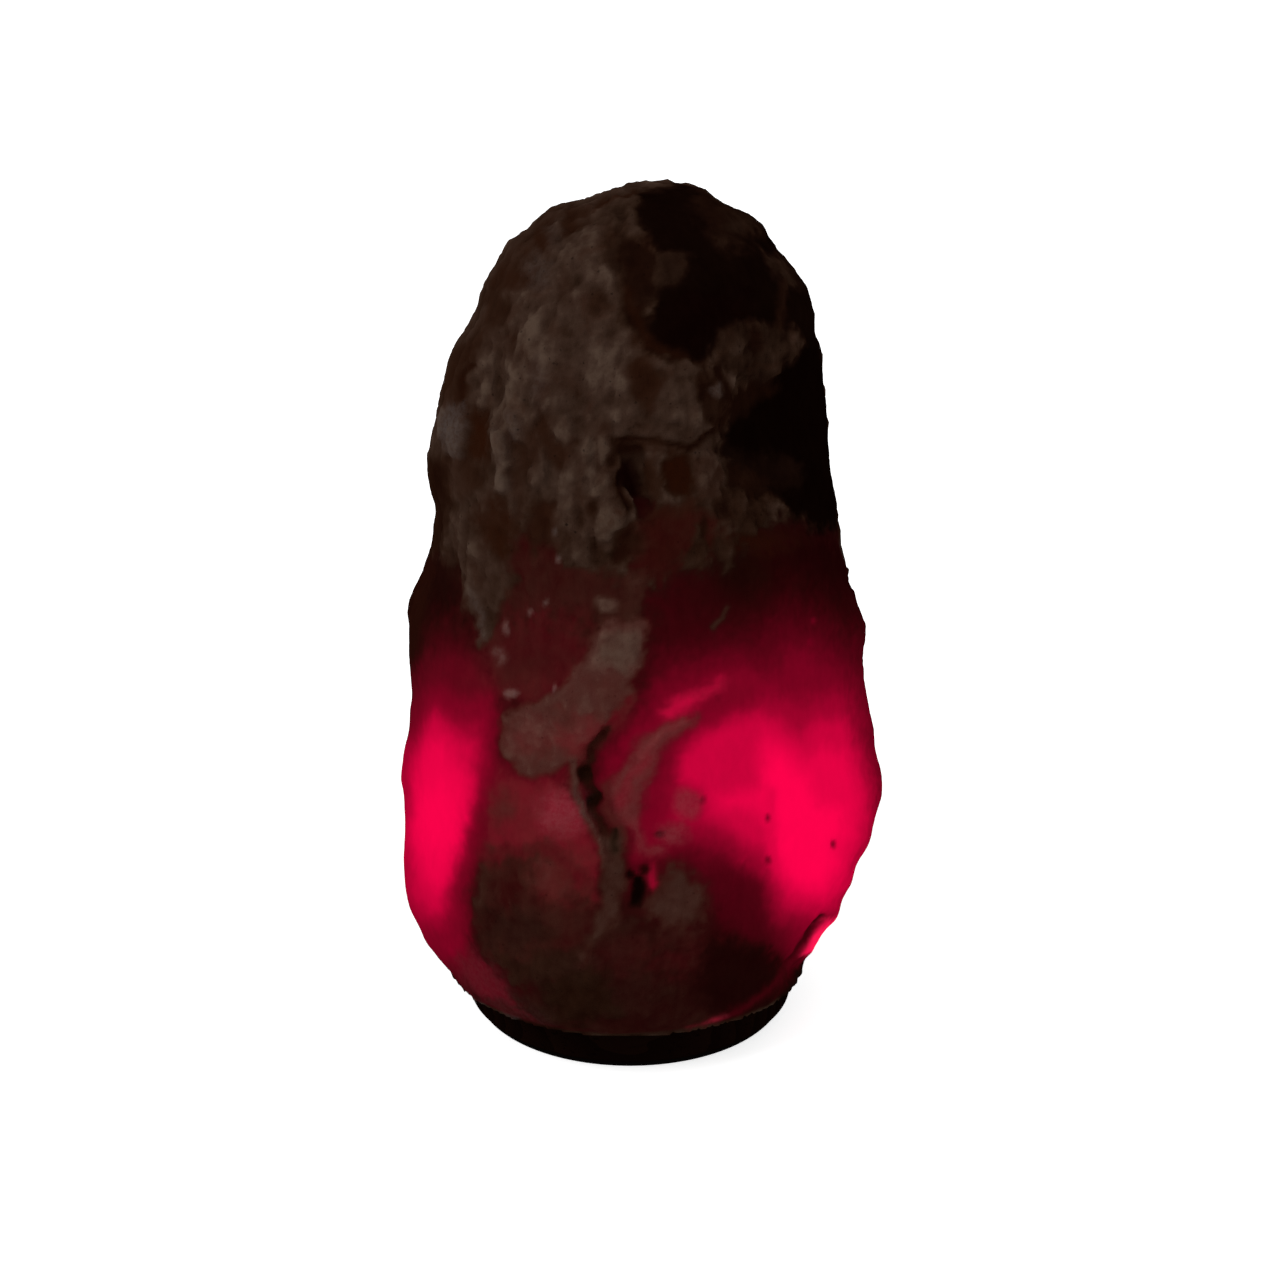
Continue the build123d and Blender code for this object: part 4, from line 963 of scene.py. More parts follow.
         513, 946, 492, 979, 480, 1010, 470, 1050, 462, 1075, 440, 1070), 8, 5, 0.5, 1, 0.62, 0.31,
         0, 0.4, 0.1),
    Mark("arc_spine", LINE, (470, 960, 500, 925, 536, 906), 6, 3, 0.3, 0.8, 0.8, 0.36, pale=0.1),
    Mark("arc_side", AREA, (404, 1006, 428, 990, 424, 1040, 446, 1074, 452, 1110, 434, 1100,
         410, 1050), 7, 4, 0.1, 0.8, 0.62, 0.24, 0, 0.4),
    Mark("arc_tail", LINE, (462, 1070, 470, 1105, 500, 1110), 9, 5, 0.1, 0.7, 0.6, 0.36, pale=0.2),
    Mark("ring_bump", SPOT, (542, 1036, 22, 24), 7, 3, 0.6, 0.9, 0.5, 0.48, 0, 0.3, 0.2),
    Mark("ring_hole", SPOT, (552, 1030, 6, 8), 4, 2, -0.8, 0.9, 0.3, 0.5),
    Mark("ring_side", SPOT, (520, 1085, 20, 16), 9, 5, 0.1, 0.7, 0.6, 0.4, pale=0.3),
    Mark("small_nick", SPOT, (500, 1086, 8, 5), 3, 2, -0.6, 0.9, 0.2, 0.25),
    Mark("flake_crack", LINE, (690, 1300, 712, 1272, 738, 1226, 752, 1210), 4, 2, -0.7, 1, 0.05,
         0.22),
    Mark("bright_flake", AREA, (720, 1276, 734, 1244, 756, 1216, 782, 1196, 768, 1236, 742, 1272),
         4, 3, 0.5, 1, 0.2, 0.98, 0, 0.1, 0.3),
    # The pale tongue, the S-shaped ledge and what lies below them.
    Mark("tongue_top", AREA, (424, 700, 446, 676, 478, 676, 482, 710, 470, 752, 430, 752), 6, 6,
         0.2, 1, 0.5, 0.13, 0.1, 0.6),
    Mark("tongue_nib", SPOT, (416, 726, 17, 13), 5, 4, 0.3, 1, 0.9, 0.12),
    Mark("tongue", AREA, (396, 766, 424, 748, 458, 752, 478, 756, 480, 800, 470, 830, 452, 846,
         458, 880, 440, 900, 412, 925, 404, 945, 386, 970, 352, 975, 330, 990, 290, 992, 254, 962,
         250, 908, 295, 884, 355, 856, 388, 800), 6, 6, 0.7, 1, 0.8, 0.19, 0, 0.6),
    Mark("tongue_light", SPOT, (440, 790, 36, 30), 14, 7, 0.3, 0.9, 0.96, 0.12),
    Mark("tongue_red", SPOT, (372, 925, 34, 34), 16, 8, 0, 0.9, 0.72, 0.31),
    Mark("tongue_mid", SPOT, (300, 935, 34, 30), 16, 8, 0, 0.8, 0.82, 0.26),
    Mark("tongue_edge_red", LINE, (436, 905, 406, 930, 374, 960, 366, 1000), 15, 6, 0, 0.75, 0.5,
         0.3),
    Mark("tongue_neck", LINE, (452, 880, 430, 905, 408, 930), 9, 5, -0.2, 0.8, 0.42, 0.3),
    Mark("arc_side_red", LINE, (480, 962, 452, 1000, 440, 1040), 8, 4, -0.2, 0.6, 0.4, 0.42),
    Mark("tongue_dark_pits", SPOT, (345, 905, 26, 14), 10, 9, -0.3, 0.5, 0.6, 0.18),
    Mark("pink_window", AREA, (246, 992, 300, 1000, 340, 994, 358, 1010, 372, 1040, 392, 1084,
         404, 1130, 396, 1160, 332, 1110, 279, 1108, 222, 1120, 230, 1060), 12, 6, 0.1, 1, 0.46,
         0.36, 0, 0.4),
    Mark("pink_window_bright", SPOT, (346, 1050, 36, 34), 18, 6, 0, 0.9, 0.5, 0.43, pale=0.3),
    Mark("pink_window_dull", SPOT, (256, 1045, 15, 26), 10, 5, 0, 0.8, 0.6, 0.26),
    Mark("lower_lobe", AREA, (218, 1132, 250, 1112, 333, 1100, 366, 1126, 394, 1165, 396, 1215,
         380, 1262, 355, 1300, 323, 1318, 268, 1314, 240, 1280, 212, 1250, 204, 1195), 11, 7, 0.5,
         1, 0.44, 0.15, 0.1, 0.6),
    Mark("lobe_red", SPOT, (340, 1150, 42, 36), 20, 8, 0.2, 0.9, 0.66, 0.26),
    Mark("lobe_shade", AREA, (222, 1190, 270, 1200, 330, 1216, 330, 1262, 262, 1266, 218, 1244), 15,
         8, -0.2, 0.9, 0.4, 0.1, 0, 0.5),
    Mark("lobe_stain", SPOT, (264, 1170, 18, 15), 9, 6, -0.3, 0.9, 0.26, 0.16),
    Mark("lobe_rim", LINE, (236, 1112, 228, 1150, 216, 1190), 8, 5, 0.2, 0.8, 0.62, 0.12),
    Mark("lobe_foot", AREA, (250, 1270, 300, 1278, 380, 1262, 376, 1300, 330, 1322, 270, 1316), 10,
         7, 0.1, 0.9, 0.48, 0.06, 0.2, 0.6),
    Mark("lobe_top_red", LINE, (230, 1122, 280, 1112, 330, 1112, 372, 1140, 392, 1185), 15, 7, 0,
         0.8, 0.42, 0.29),
    Mark("bottom_centre", AREA, (398, 1235, 450, 1205, 505, 1238, 560, 1238, 640, 1270, 690, 1310,
         640, 1380, 520, 1415, 390, 1415, 300, 1390, 262, 1330, 335, 1318, 378, 1280), 15, 9, 0.1,
         1, 0.34, 0.11, 0, 0.5),
    Mark("bottom_olive", AREA, (330, 1312, 380, 1290, 420, 1300, 430, 1360, 380, 1382, 320, 1360),
         12, 8, 0, 0.9, 0.38, 0.02, 0.3, 0.5),
    Mark("bottom_red", SPOT, (450, 1268, 42, 30), 18, 8, -0.2, 0.8, 0.36, 0.16),
    Mark("bottom_glow", SPOT, (580, 1275, 84, 36), 26, 8, 0, 0.8, None, 0.2),
    Mark("bottom_right_dark", AREA, (580, 1240, 660, 1262, 700, 1310, 660, 1370, 600, 1384,
         560, 1340, 556, 1280), 16, 8, 0, 0.95, 0.1, 0.09, 0, 0.3),
    Mark("patch_by_pit", AREA, (494, 1142, 540, 1134, 564, 1160, 574, 1200, 552, 1236, 505, 1240,
         482, 1200), 15, 7, 0.4, 1, 0.68, 0.13, 0, 0.5),
    # The ledge's shadowed face is a painted shadow, dark along a sunken groove.
    Mark("ledge_groove_painted_shadow", LINE, (414, 922, 394, 952, 383, 988, 390, 1020, 398, 1048, 408, 1070,
         416, 1098), 8, 5, -0.9, 0.85, 0.4, 0.07, 0.3, 0.6),
    Mark("ledge_pale_side", LINE, (366, 966, 366, 1012, 384, 1052, 404, 1086, 414, 1130), 7, 4, 0.9,
         1, 0.84, 0.17, 0, 0.7),
    Mark("ledge_rim", AREA, (412, 1096, 436, 1080, 444, 1120, 446, 1170, 436, 1220, 400, 1250,
         380, 1290, 368, 1290, 396, 1230, 410, 1180), 8, 5, 0.4, 1, 0.66, 0.12, 0, 0.7),
    Mark("ledge_slit", LINE, (428, 1082, 430, 1110), 5, 2, -0.6, 0.9, 0.36, 0.03),
    Mark("ledge_dot_high", SPOT, (380, 990, 9, 10), 5, 3, -0.8, 0.95, 0.3, 0, 0.5),
    Mark("ledge_dot", SPOT, (396, 1032, 9, 9), 5, 3, -0.9, 1, 0.1, 0, 0.3),
    Mark("pit_glow", AREA, (478, 1132, 492, 1130, 498, 1160, 486, 1172, 480, 1156), 5, 3, 0, 1, 0.2,
         0.5),
    Mark("pit", AREA, (458, 1150, 472, 1152, 476, 1178, 472, 1200, 458, 1200, 456, 1176), 4, 3, -1,
         1, 0.02, 0.02, 0, 0.2),
    Mark("pit_left", SPOT, (452, 1147, 7, 8), 4, 3, -0.9, 1, 0.06, 0.06),
    Mark("pit_right", SPOT, (478, 1138, 8, 9), 4, 3, -0.9, 1, 0.08, 0.12),
    Mark("foot_rim", LINE, (235, 1345, 300, 1385, 400, 1408, 480, 1412), 8, 5, 0, 0.6, 0.4, 0.14, 0,
         0.4),
    Mark("foot_shade", LINE, (190, 1345, 230, 1385, 300, 1418, 400, 1436, 480, 1440, 560, 1432,
         640, 1404, 700, 1356), 17, 5, 0, 1, 0.06, 0.02, 0, 0.3),
    Mark("foot_light", LINE, (545, 1390, 575, 1384, 604, 1368), 5, 3, 0, 1, 0.4, 0.42, 0, 0.2, 0.1),
    Mark("foot_light_long", LINE, (604, 1368, 660, 1338, 694, 1306), 8, 4, 0, 0.8, 0.1, 0.24, 0,
         0.2),
    # Flecks and pin holes.
    *(Mark(f"fleck_{i}", SPOT, at, 3, 3, 0.3, 1, 1, pale=0.5) for i, at in enumerate((
        (258, 763, 5, 9), (268, 866, 9, 7), (336, 858, 5, 7), (322, 722, 3, 4),
        (300, 738, 3, 4), (340, 656, 4, 6), (335, 612, 3, 4)))),
    Mark("hook_scratch", LINE, (584, 762, 598, 748, 604, 730), 5, 2, 0.2, 0.9, 0.66, 0.1, 0, 0.5),
    *(Mark(f"pin_hole_{i}", SPOT, (*at, 4, 5), 3, 2, -0.6, 0.85, 0.05, 0.4)
      for i, at in enumerate((
          (668, 1058), (667, 1124), (770, 1100), (735, 786), (742, 752), (592, 872),
          (566, 1030)))),
)

# Small dents and bumps of the outline: place and reach on the sketch, and height in mm.
RIM: tuple[Dent, ...] = (
    ((134, 506), 32, 0.6), ((138, 650), 46, 0.9), ((106, 765), 28, -0.9), ((106, 918), 38, -1.5),
    ((113, 868), 20, -0.7), ((96, 998), 20, 0.8), ((102, 1085), 30, -0.6), ((108, 1195), 42, 1.1),
    ((205, 1345), 26, 1), ((596, 93), 22, -1.3), ((641, 117), 13, 0.5), ((660, 131), 22, 1.8),
    ((746, 300), 22, -1.5), ((757, 420), 40, 0.35), ((730, 230), 18, 0.8), ((779, 575), 34, 0.7),
    ((803, 715), 22, 0.7), ((818, 762), 32, 2.1), ((838, 955), 24, -1), ((846, 1022), 24, 0.6),
    ((812, 1092), 30, 1.3), ((792, 1160), 24, 1.2), ((772, 1208), 26, 1.9), ((710, 1306), 24, -4),
    ((440, 72), 30, -0.3), ((396, 86), 24, -0.9), ((292, 132), 30, -1.3), ((205, 278), 36, -1.1),
    ((165, 370), 24, -0.7), ((150, 425), 42, -0.9), ((545, 72), 22, -0.2), ((148, 575), 18, -0.9),
    ((128, 680), 18, -0.5), ((138, 1250), 20, 0.5), ((172, 1302), 20, -0.5),
)


# ------------------------------------------------------------------ noise and points


class Lumps(Enum):
    """Soft noises: the size of their largest lumps in mm, how many finer layers, and their seed."""

    SEAM = (12.0, 3, 61.0)
    DRIFT_ACROSS = (7.0, 4, 11.0)
    DRIFT_DOWN = (7.0, 4, 23.0)
    BROKEN_EDGE = (2.4, 4, 53.0)
    FLUTES = (4.6, 3, 31.0)
    KNOBS = (5.0, 3, 17.0)
    GRIT = (1.9, 2, 19.0)
    BROAD = (34.0, 2, 3.0)
    PATCHES = (32.0, 3, 5.0)
    STAINS = (19.0, 4, 9.0)
    AMBER = (24.0, 2, 41.0)
    FROST = (15.0, 3, 47.0)

    def at(self, points: np.ndarray) -> np.ndarray:
        """Reads the noise.

        Args:
            points: Where it is read, in metres, one to a row.

        Returns:
            The noise, about -1 to 1.
        """
        size_mm, layers, seed = self.value
        rows = (points / (size_mm * MM) + np.array((seed, -1.7 * seed, 2.3 * seed))).tolist()
        finer = (FINER_FADE, FINER_STEP, layers)
        return np.array([noise.fractal(Vector(row), *finer) for row in rows])


def chips(points: np.ndarray, size_mm: float, seed: float) -> np.ndarray:
    """Shell-shaped chips that meet in crisp ridges.

    Args:
        points: Where they are read, in metres.
        size_mm: The size of a chip.
        seed: What sets them apart from others.

    Returns:
        Heights, about -0.3 in the middle of a chip to 0.5 on a ridge.
    """
    rows = (points / (size_mm * MM) + np.array((seed, 2.1 * seed, -1.3 * seed))).tolist()
    return np.array([noise.voronoi(Vector(row))[0][0] for row in rows]) ** 2 - 0.3


def graded(pair: Span, share: np.ndarray) -> np.ndarray:
    """The first of the pair, plus the second times the share."""
    return pair[0] + pair[1] * share


def read(items: bpy.types.bpy_prop_collection, name: str) -> np.ndarray:
    """Reads a vector of each of a mesh's points or faces.

    Args:
        items: The points or faces.
        name: The vector's name.

    Returns:
        The vectors, one to a row.
    """
    values = np.empty(len(items) * 3)
    items.foreach_get(name, values)
    return values.reshape(-1, 3)


# ------------------------------------------------------------------ the crystal


@dataclass
class SaltCrystal:
    """The hand-broken block of rock salt, drilled from below for the bulb.

    Sizes are in metres, unless a name says otherwise. Each span says where something rises from
    nothing to the full.
    """

    view: SketchView = SketchView()
    node: str = "salt_crystal"
    weld: float = 0.01 * MM
    voxel: float = 1.8 * MM
    smoothing: tuple[float, int] = (0.5, 2)
    foot_z: float = 16.0 * MM
    foot_flat: float = 1.0 * MM
    foot_span: Span = (0.2 * MM, 3.0 * MM)
    bore_radius: float = 23.0 * MM
    bore_straight_z: float = 100.0 * MM
    bore_tip_z: float = 114.5 * MM
    bore_tip_slope: float = 1.66
    bore_span: Span = (1 * MM, 4 * MM)
    bore_wall: float = 1.2 * MM
    bore_light: Span = (24 * MM, 26 * MM)
    hole_clearance: float = 2 * MM
    tip_clearance: float = 1 * MM
    anchor_ring: float = 33.0 * MM
    anchor_hole: float = 3.2 * MM
    anchor_span: Span = (0.4 * MM, 2 * MM)
    anchor_top_z: float = 39.0 * MM
    anchor_bearings: tuple[float, ...] = (-90.0, 30.0, 150.0)
    bulb_z: float = 60.0 * MM
    glow_reach: float = 27.0 * MM
    fine_facing: float = -0.05
    fine_outside: float = 0.3
    fine_steepness: float = -0.9
    front_span: Span = (-0.2, 0.08)
    rim_span: Span = (0.2, 0.6)
    off_rim_span: Span = (0.02, 0.3)
    crust_from: Span = (125 * MM, 150 * MM)
    flutes_from: Span = (95 * MM, 125 * MM)
    dark_from: Span = (100 * MM, 135 * MM)
    foot_light: float = 14 * MM
    seam_wander: float = 0.1
    drift: float = 1.7
    crumbling: float = 1.5
    full_ragged: float = 6.0
    most_crumbs: float = 1.1
    flute_stretch: Place = (1.0, 1.0, 0.24)
    flute_mm: float = 0.95
    grit_mm: float = 0.26
    chip_size_mm: float = 15.0
    chip_seed: float = 7.0
    # The first of each pair holds everywhere. The second comes on top at the front, off the rim or
    # where the salt is grainy.
    broad_mm: Span = (0.7, -0.3)
    chip_mm: Span = (1.2, -0.4)
    knob_mm: Span = (0.15, 1.15)
    off_rim: Span = (0.35, 0.65)

    def build(self) -> None:
        """Makes the crystal over its solid."""
        rock = bpy.data.objects.new("rock_salt_crystal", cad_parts[self.node].data.copy())
        bpy.context.scene.collection.objects.link(rock)
        bpy.ops.object.select_all(action="DESELECT")
        rock.select_set(True)
        bpy.context.view_layer.objects.active = rock
        bpy.ops.object.mode_set(mode="EDIT")
        bpy.ops.mesh.select_all(action="SELECT")
        bpy.ops.mesh.remove_doubles(threshold=self.weld)
        bpy.ops.object.mode_set(mode="OBJECT")
        even = rock.modifiers.new("even", "REMESH")
        even.mode, even.voxel_size = "VOXEL", self.voxel
        bpy.ops.object.modifier_apply(modifier=even.name)
        ease = rock.modifiers.new("ease", "SMOOTH")
        ease.factor, ease.iterations = self.smoothing
        bpy.ops.object.modifier_apply(modifier=ease.name)
        self._refine_front(rock)
        self._carve(rock.data)
        bpy.ops.object.shade_smooth()
        rock.data.materials.clear()
        rock.data.materials.append(RockSaltFinish().make())
        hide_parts(self.node)
        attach(rock, "lamp")
        log.info("%s has %d faces", rock.name, len(rock.data.polygons))

    def _refine_front(self, rock: bpy.types.Object) -> None:
        """Divides the faces that the front's marks lie on, but not those in holes or underneath.

        Args:
            rock: The crystal.
        """
        faces = rock.data.polygons
        centres, normals = read(faces, "center"), read(faces, "normal")
        near = self.view.facing(centres, normals) > self.fine_facing
        near &= self._outside(centres) > self.fine_outside
        near &= normals[:, 2] > self.fine_steepness
        for items in (rock.data.vertices, rock.data.edges):
            items.foreach_set("select", np.zeros(len(items), dtype=bool))
        faces.foreach_set("select", near)
        bpy.context.scene.tool_settings.mesh_select_mode = (False, False, True)
        bpy.ops.object.mode_set(mode="EDIT")
        bpy.ops.mesh.subdivide(number_cuts=1)
        bpy.ops.object.mode_set(mode="OBJECT")

    def _outside(self, places: np.ndarray) -> np.ndarray:
        """How far each point is from the drilled holes and the flat foot.

        Args:
            places: The points.

        Returns:
            0 in a hole or on the foot, 1 well out on the broken surface.
        """
        x, y, z = places.T
        tip = np.clip(self.bore_tip_z - z, 0.0, self.bore_radius)
        reach = np.minimum(self.bore_radius, tip * self.bore_tip_slope)
        above = z > self.bore_tip_z + self.hole_clearance
        share = np.where(above, 1.0, eased(np.hypot(x, y) - reach, *self.bore_span))
        low = z < self.anchor_top_z + self.hole_clearance
        start, end = (self.anchor_hole + gap for gap in self.anchor_span)
        for bearing in self.anchor_bearings:
            angle = math.radians(bearing)
            across = x - self.anchor_ring * math.cos(angle)
            along = y - self.anchor_ring * math.sin(angle)
            share *= np.where(low, eased(np.hypot(across, along), start, end), 1.0)
        return share * eased(z, *(self.foot_z + rise for rise in self.foot_span))

    def _carve(self, mesh: bpy.types.Mesh) -> None:
        """Moves the points and paints them.

        Args:
            mesh: The crystal's mesh.
        """
        places, normals = read(mesh.vertices, "co"), read(mesh.vertex_normals, "vector")
        outside = self._outside(places)
        facing = self.view.facing(places, normals)
        wander = self.seam_wander * Lumps.SEAM.at(places)
        front = eased(facing + wander, *self.front_span) * outside
        painted = self._all_round(places, front)
        height = self._lay_marks(places, front, painted)
        rim = 1.0 - eased(np.abs(facing), *self.rim_span)
        at = self.view.sketch(places)
        for place, reach, lift in RIM:
            gap = np.linalg.norm(at - np.array(place), axis=1)
            height += lift * np.exp(-((gap / reach) ** 2)) * rim

        flutes = Lumps.FLUTES.at(places * np.array(self.flute_stretch))
        knobs, grit = Lumps.KNOBS.at(places), Lumps.GRIT.at(places)
        broken = chips(places, self.chip_size_mm, self.chip_seed)
        high = eased(places[:, 2], *self.flutes_from) * painted["grain"]
        off_rim = graded(self.off_rim, eased(np.abs(facing), *self.off_rim_span))
        height += flutes * high * self.flute_mm
        height += Lumps.BROAD.at(places) * graded(self.broad_mm, front) * off_rim
        height += broken * graded(self.chip_mm, front) * off_rim
        height += knobs * graded(self.knob_mm, painted["grain"]) * off_rim
        height += grit * self.grit_mm * painted["grain"]
        # Painted light and shade: what rises is painted paler and hollows darker, partly as dust
        # and crust on the ridges; the glow is dimmed on the knobs.
        ridge_dust_and_painted_shade = 0.22 * flutes * high + (0.24 * knobs + 0.08 * grit) * painted["grain"]
        painted["tone"] += ridge_dust_and_painted_shade * (0.3 + painted["tone"])
        painted["glow"] *= 1.0 - 0.12 * knobs * painted["grain"]
        for name, values in painted.items():
            layer = mesh.attributes.new(name, "FLOAT", "POINT")
            layer.data.foreach_set("value", np.clip(values, 0.0, 1.0).astype(np.float32))
        moved = places + normals * (height * outside * MM)[:, None]
        mesh.vertices.foreach_set("co", self._kept_true(places, moved).ravel())
        mesh.update()

    def _lay_marks(
        self, places: np.ndarray, front: np.ndarray, painted: dict[str, np.ndarray]
    ) -> np.ndarray:
        """Lays the marks over each other, each with an edge that wanders and crumbles.

        Args:
            places: The points.
            front: How much of each is the front's.
            painted: What is painted on the points, which the marks change.

        Returns:
            How far the marks lift each point, in mm.
        """
        height = np.zeros(len(places))
        at = self.view.sketch(places)
        drifts = (Lumps.DRIFT_ACROSS.at(places), Lumps.DRIFT_DOWN.at(places))
        drift = np.stack(drifts, axis=1) * self.drift
        broken = Lumps.BROKEN_EDGE.at(places) * self.crumbling
        for mark in MARKS:
            cover = mark.cover(at + drift * mark.ragged)
            crumbs = broken * cover * (1.0 - cover)
            crumbs *= min(mark.ragged / self.full_ragged, self.most_crumbs)
            cover = np.clip(cover + crumbs, 0.0, 1.0) * (mark.strength * front)
            height += mark.lift * cover
            for name in PAINTED:
                wanted = getattr(mark, name)
                if wanted is not None:
                    painted[name] += (wanted - painted[name]) * cover
            log.debug("%s covers %d points", mark.name, np.count_nonzero(cover > 0.5))
        return height

    def _kept_true(self, places: np.ndarray, moved: np.ndarray) -> np.ndarray:
        """Keeps the moved points in the solid's box, the foot flat and the bore round.

        Args:
            places: The points before they moved.
            moved: The points after it.

        Returns:
            The points to use.
        """
        moved = np.clip(moved, *(np.array(corner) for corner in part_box(self.node)))
        flat = places[:, 2] < self.foot_z + self.foot_flat
        moved[:, 2] = np.where(flat, self.foot_z, moved[:, 2])
        radius = np.hypot(places[:, 0], places[:, 1])
        bore = np.abs(radius - self.bore_radius) < self.bore_wall
        bore &= places[:, 2] < self.bore_straight_z
        moved[bore, :2] *= (self.bore_radius / radius[bore])[:, None]
        return moved

    def _all_round(self, places: np.ndarray, front: np.ndarray) -> dict[str, np.ndarray]:
        """What is painted where no mark lies.

        Args:
            places: The points.
            front: How much of each is the front's.

        Returns:
            The values of each name in PAINTED.
        """
        x, y, z = places.T
        radius = np.hypot(x, y)
        side = np.abs(x) / np.maximum(radius, 1e-6)
        stain = Lumps.STAINS.at(places)
        shine = np.exp(-(((z - self.bulb_z) / self.glow_reach) ** 2))
        thin = eased(Lumps.PATCHES.at(places) + 1.1 * side, 0.25, 0.85)
        crust = eased(stain + 0.35 - 0.5 * thin * shine, -0.1, 0.25)
        dim = 0.05 * (1 - eased(z, *self.dark_from))
        upper = eased(z, *self.crust_from)
        inside = 1.0 - eased(radius, *self.bore_light)
        off_foot = np.maximum(inside, eased(z, self.foot_z, self.foot_z + self.foot_light))
        back = {
            "tone": 0.3 + 0.5 * crust,
            "glow": np.maximum(shine * (0.16 + 0.84 * thin) * (1.0 - 0.35 * crust), dim) * off_foot,
            "amber": eased(Lumps.AMBER.at(places), 0.2, 0.55) * 0.6 * (1 - thin * shine),
            "grain": 0.12 + 0.78 * crust * (1 - 0.6 * thin * shine),
            "pale": eased(Lumps.FROST.at(places), 0.35, 0.6) * 0.6,
        }
        ahead = {
            "tone": 0.2 + (0.55 + 0.16 * stain) * upper,
            "glow": 0.16 * (1 - upper),
            "amber": eased(stain, 0.25, 0.6) * 0.3,
            "grain": 0.3 + 0.5 * upper,
            "pale": 0.0 * z,
        }
        painted = {name: back[name] + (ahead[name] - back[name]) * front for name in PAINTED}
        bore = (inside > 0) & (z < self.bore_tip_z + self.tip_clearance)
        painted["glow"] = np.where(bore, 0.35 + 0.65 * shine, painted["glow"])
        return painted


# ------------------------------------------------------------------ base, holder, clip and bulb


Finishes = tuple[tuple[Finish, tuple[str, ...]], ...]


@dataclass
class SubAssembly:
    """CAD nodes that keep their solids, with the finish of each."""

    finishes: Finishes = ()

    def dress(self) -> None:
        """Gives each node its finish."""
        for finish, nodes in self.finishes:
            for node in nodes:
                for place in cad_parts[node].material_slots:
                    place.material = shared(finish)
                log.info("%s keeps its solid and gets %s", node, shared(finish).name)


@dataclass
class WoodenBase(SubAssembly):
    """The turned round base, its foot ring, and the screws that hold the crystal."""

    finishes: Finishes = (
        (DarkWoodFinish(), ("wood_base",)),
        (MouldedFinish(Moulding.RUBBER), ("foot_ring",)),
        (MouldedFinish(Moulding.NYLON), ("crystal_anchors",)),
        (MetalFinish(Metal.ZINC), ("base_screws",)),
    )


@dataclass
class LampHolder(SubAssembly):
    """The black screw-thread holder with its contacts, terminals and cord clamp."""

    finishes: Finishes = (
        (MouldedFinish(Moulding.BLACK_PHENOLIC), ("holder_cap", "holder_barrel", "cord_clamp")),
        (MouldedFinish(Moulding.CERAMIC), ("terminal_block",)),
        (MetalFinish(Metal.BRASS), ("thread_shell", "centre_contact", "side_contact")),
        (MetalFinish(Metal.ZINC), ("terminal_screws", "cord_clamp_screws")),
    )


@dataclass
class SpringClip(SubAssembly):
    """The collar on the holder and the two wire wings that grip the bore."""

    finishes: Finishes = (
        (MetalFinish(Metal.SPRING), ("clip_collar", "clip_left", "clip_right")),
        (MetalFinish(Metal.ZINC), ("clip_pins",)),
    )


@dataclass
class LedBulb(SubAssembly):
    """The small screw-in bulb that lights the crystal pink-red."""

    chip_heights_mm: Span = (58.0, 58.8)
    diffuser_heights_mm: Span = (58.0, 86.5)
    finishes: Finishes = (
        (MetalFinish(Metal.BRASS), ("bulb_cap_shell", "bulb_tip_contact")),
        (MetalFinish(Metal.ZINC), ("bulb_lead",)),
        (MouldedFinish(Moulding.CAP_GLASS), ("bulb_cap_insulator",)),
        (MouldedFinish(Moulding.WHITE_PLASTIC), ("bulb_housing",)),
        (MouldedFinish(Moulding.COMPONENT), ("bulb_driver_parts",)),
        (BoardFinish(), ("bulb_led_board", "bulb_driver_board")),
        (LitFinish(Lit.CHIP, *chip_heights_mm), ("bulb_leds",)),
        (LitFinish(Lit.DIFFUSER, *diffuser_heights_mm), ("bulb_diffuser",)),
    )


# ------------------------------------------------------------------ studio


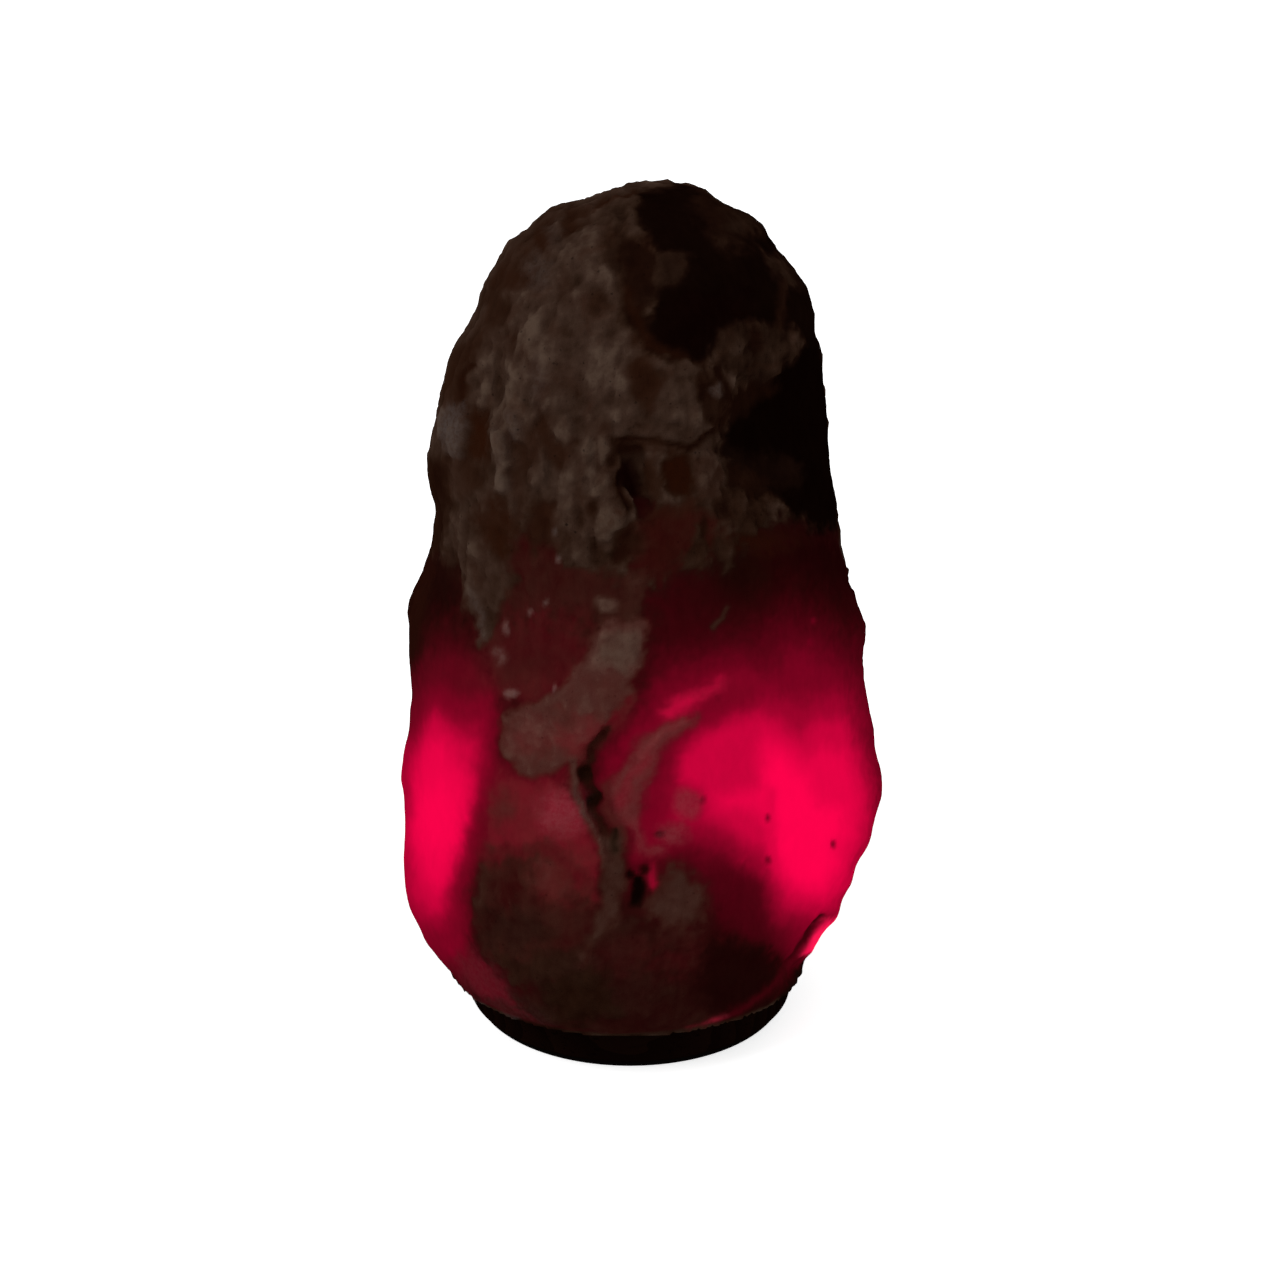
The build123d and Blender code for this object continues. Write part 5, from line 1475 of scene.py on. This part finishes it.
@dataclass
class Studio:
    """A white floor, a white room and two soft lamps."""

    floor_half: float = 4.0
    floor_grey: float = 0.93
    floor_roughness: float = 0.9
    floor_lift: float = 0.66
    room_light: float = 0.62
    aim: Place = (0.0, 0.0, 0.12)
    lamp_rows: tuple[tuple[str, Place, float, float], ...] = (
        ("key", (-1.2, -1.1, 1.7), 1.0, 17.0),
        ("fill", (1.5, -0.6, 1.2), 1.5, 3.0),
    )

    def _add_room(self) -> None:
        """Adds the room, which looks white and lights the object from all round."""
        world = bpy.data.worlds.new("room")
        world.use_nodes = True
        bpy.context.scene.world = world
        room = Graph(world.node_tree)
        light, seen = (
            room.node("ShaderNodeBackground", inputs={"Color": WHITE, "Strength": strength})
            for strength in (self.room_light, 1.0)
        )
        mixed = room.node("ShaderNodeMixShader", inputs={0: room.looked_at(), 1: light, 2: seen})
        room.show("ShaderNodeOutputWorld", mixed)

    def _add_floor(self) -> None:
        """Adds the floor, which keeps the object's shadow and otherwise looks white."""
        bpy.ops.object.select_all(action="DESELECT")
        bpy.ops.mesh.primitive_plane_add(size=2 * self.floor_half)
        floor = bpy.context.object
        floor.name = "floor"
        paint = Material("floor_white", specular=0.0)
        matt = {
            "Base Color": (self.floor_grey, self.floor_grey, self.floor_grey, 1.0),
            "Roughness": self.floor_roughness,
            "Specular IOR Level": paint.specular,
        }
        nothing, lift = (
            paint.node("ShaderNodeEmission", inputs={"Strength": strength})
            for strength in (0.0, self.floor_lift)
        )
        lifted = {0: paint.looked_at(), 1: nothing, 2: lift}
        both = {
            0: paint.node("ShaderNodeBsdfPrincipled", inputs=matt),
            1: paint.node("ShaderNodeMixShader", inputs=lifted),
        }
        paint.show("ShaderNodeOutputMaterial", paint.node("ShaderNodeAddShader", inputs=both))
        floor.data.materials.append(paint.material)

    def _add_lamps(self) -> None:
        """Adds the soft lamps, each turned to the crystal's middle."""
        for name, place, size, power in self.lamp_rows:
            lamp = bpy.data.lights.new(name, "AREA")
            lamp.shape, lamp.size, lamp.energy = "DISK", size, power
            made = bpy.data.objects.new(name, lamp)
            made.location = place
            towards = Vector(self.aim) - Vector(place)
            made.rotation_euler = towards.to_track_quat("-Z", "Y").to_euler()
            bpy.context.scene.collection.objects.link(made)

    def build(self) -> None:
        """Sets up the floor, the light and the way colours are shown."""
        self._add_floor()
        self._add_room()
        self._add_lamps()
        bpy.context.scene.view_settings.view_transform = "Standard"


def main() -> None:
    """Builds the studio, the crystal and everything that holds and lights it."""
    logging.basicConfig(level=logging.INFO, format="%(message)s")
    crystal = SaltCrystal()
    crystal.view.add_camera()
    Studio().build()
    crystal.build()
    for assembly in (WoodenBase(), LampHolder(), SpringClip(), LedBulb()):
        assembly.dress()


if __name__ == "__main__":
    main()
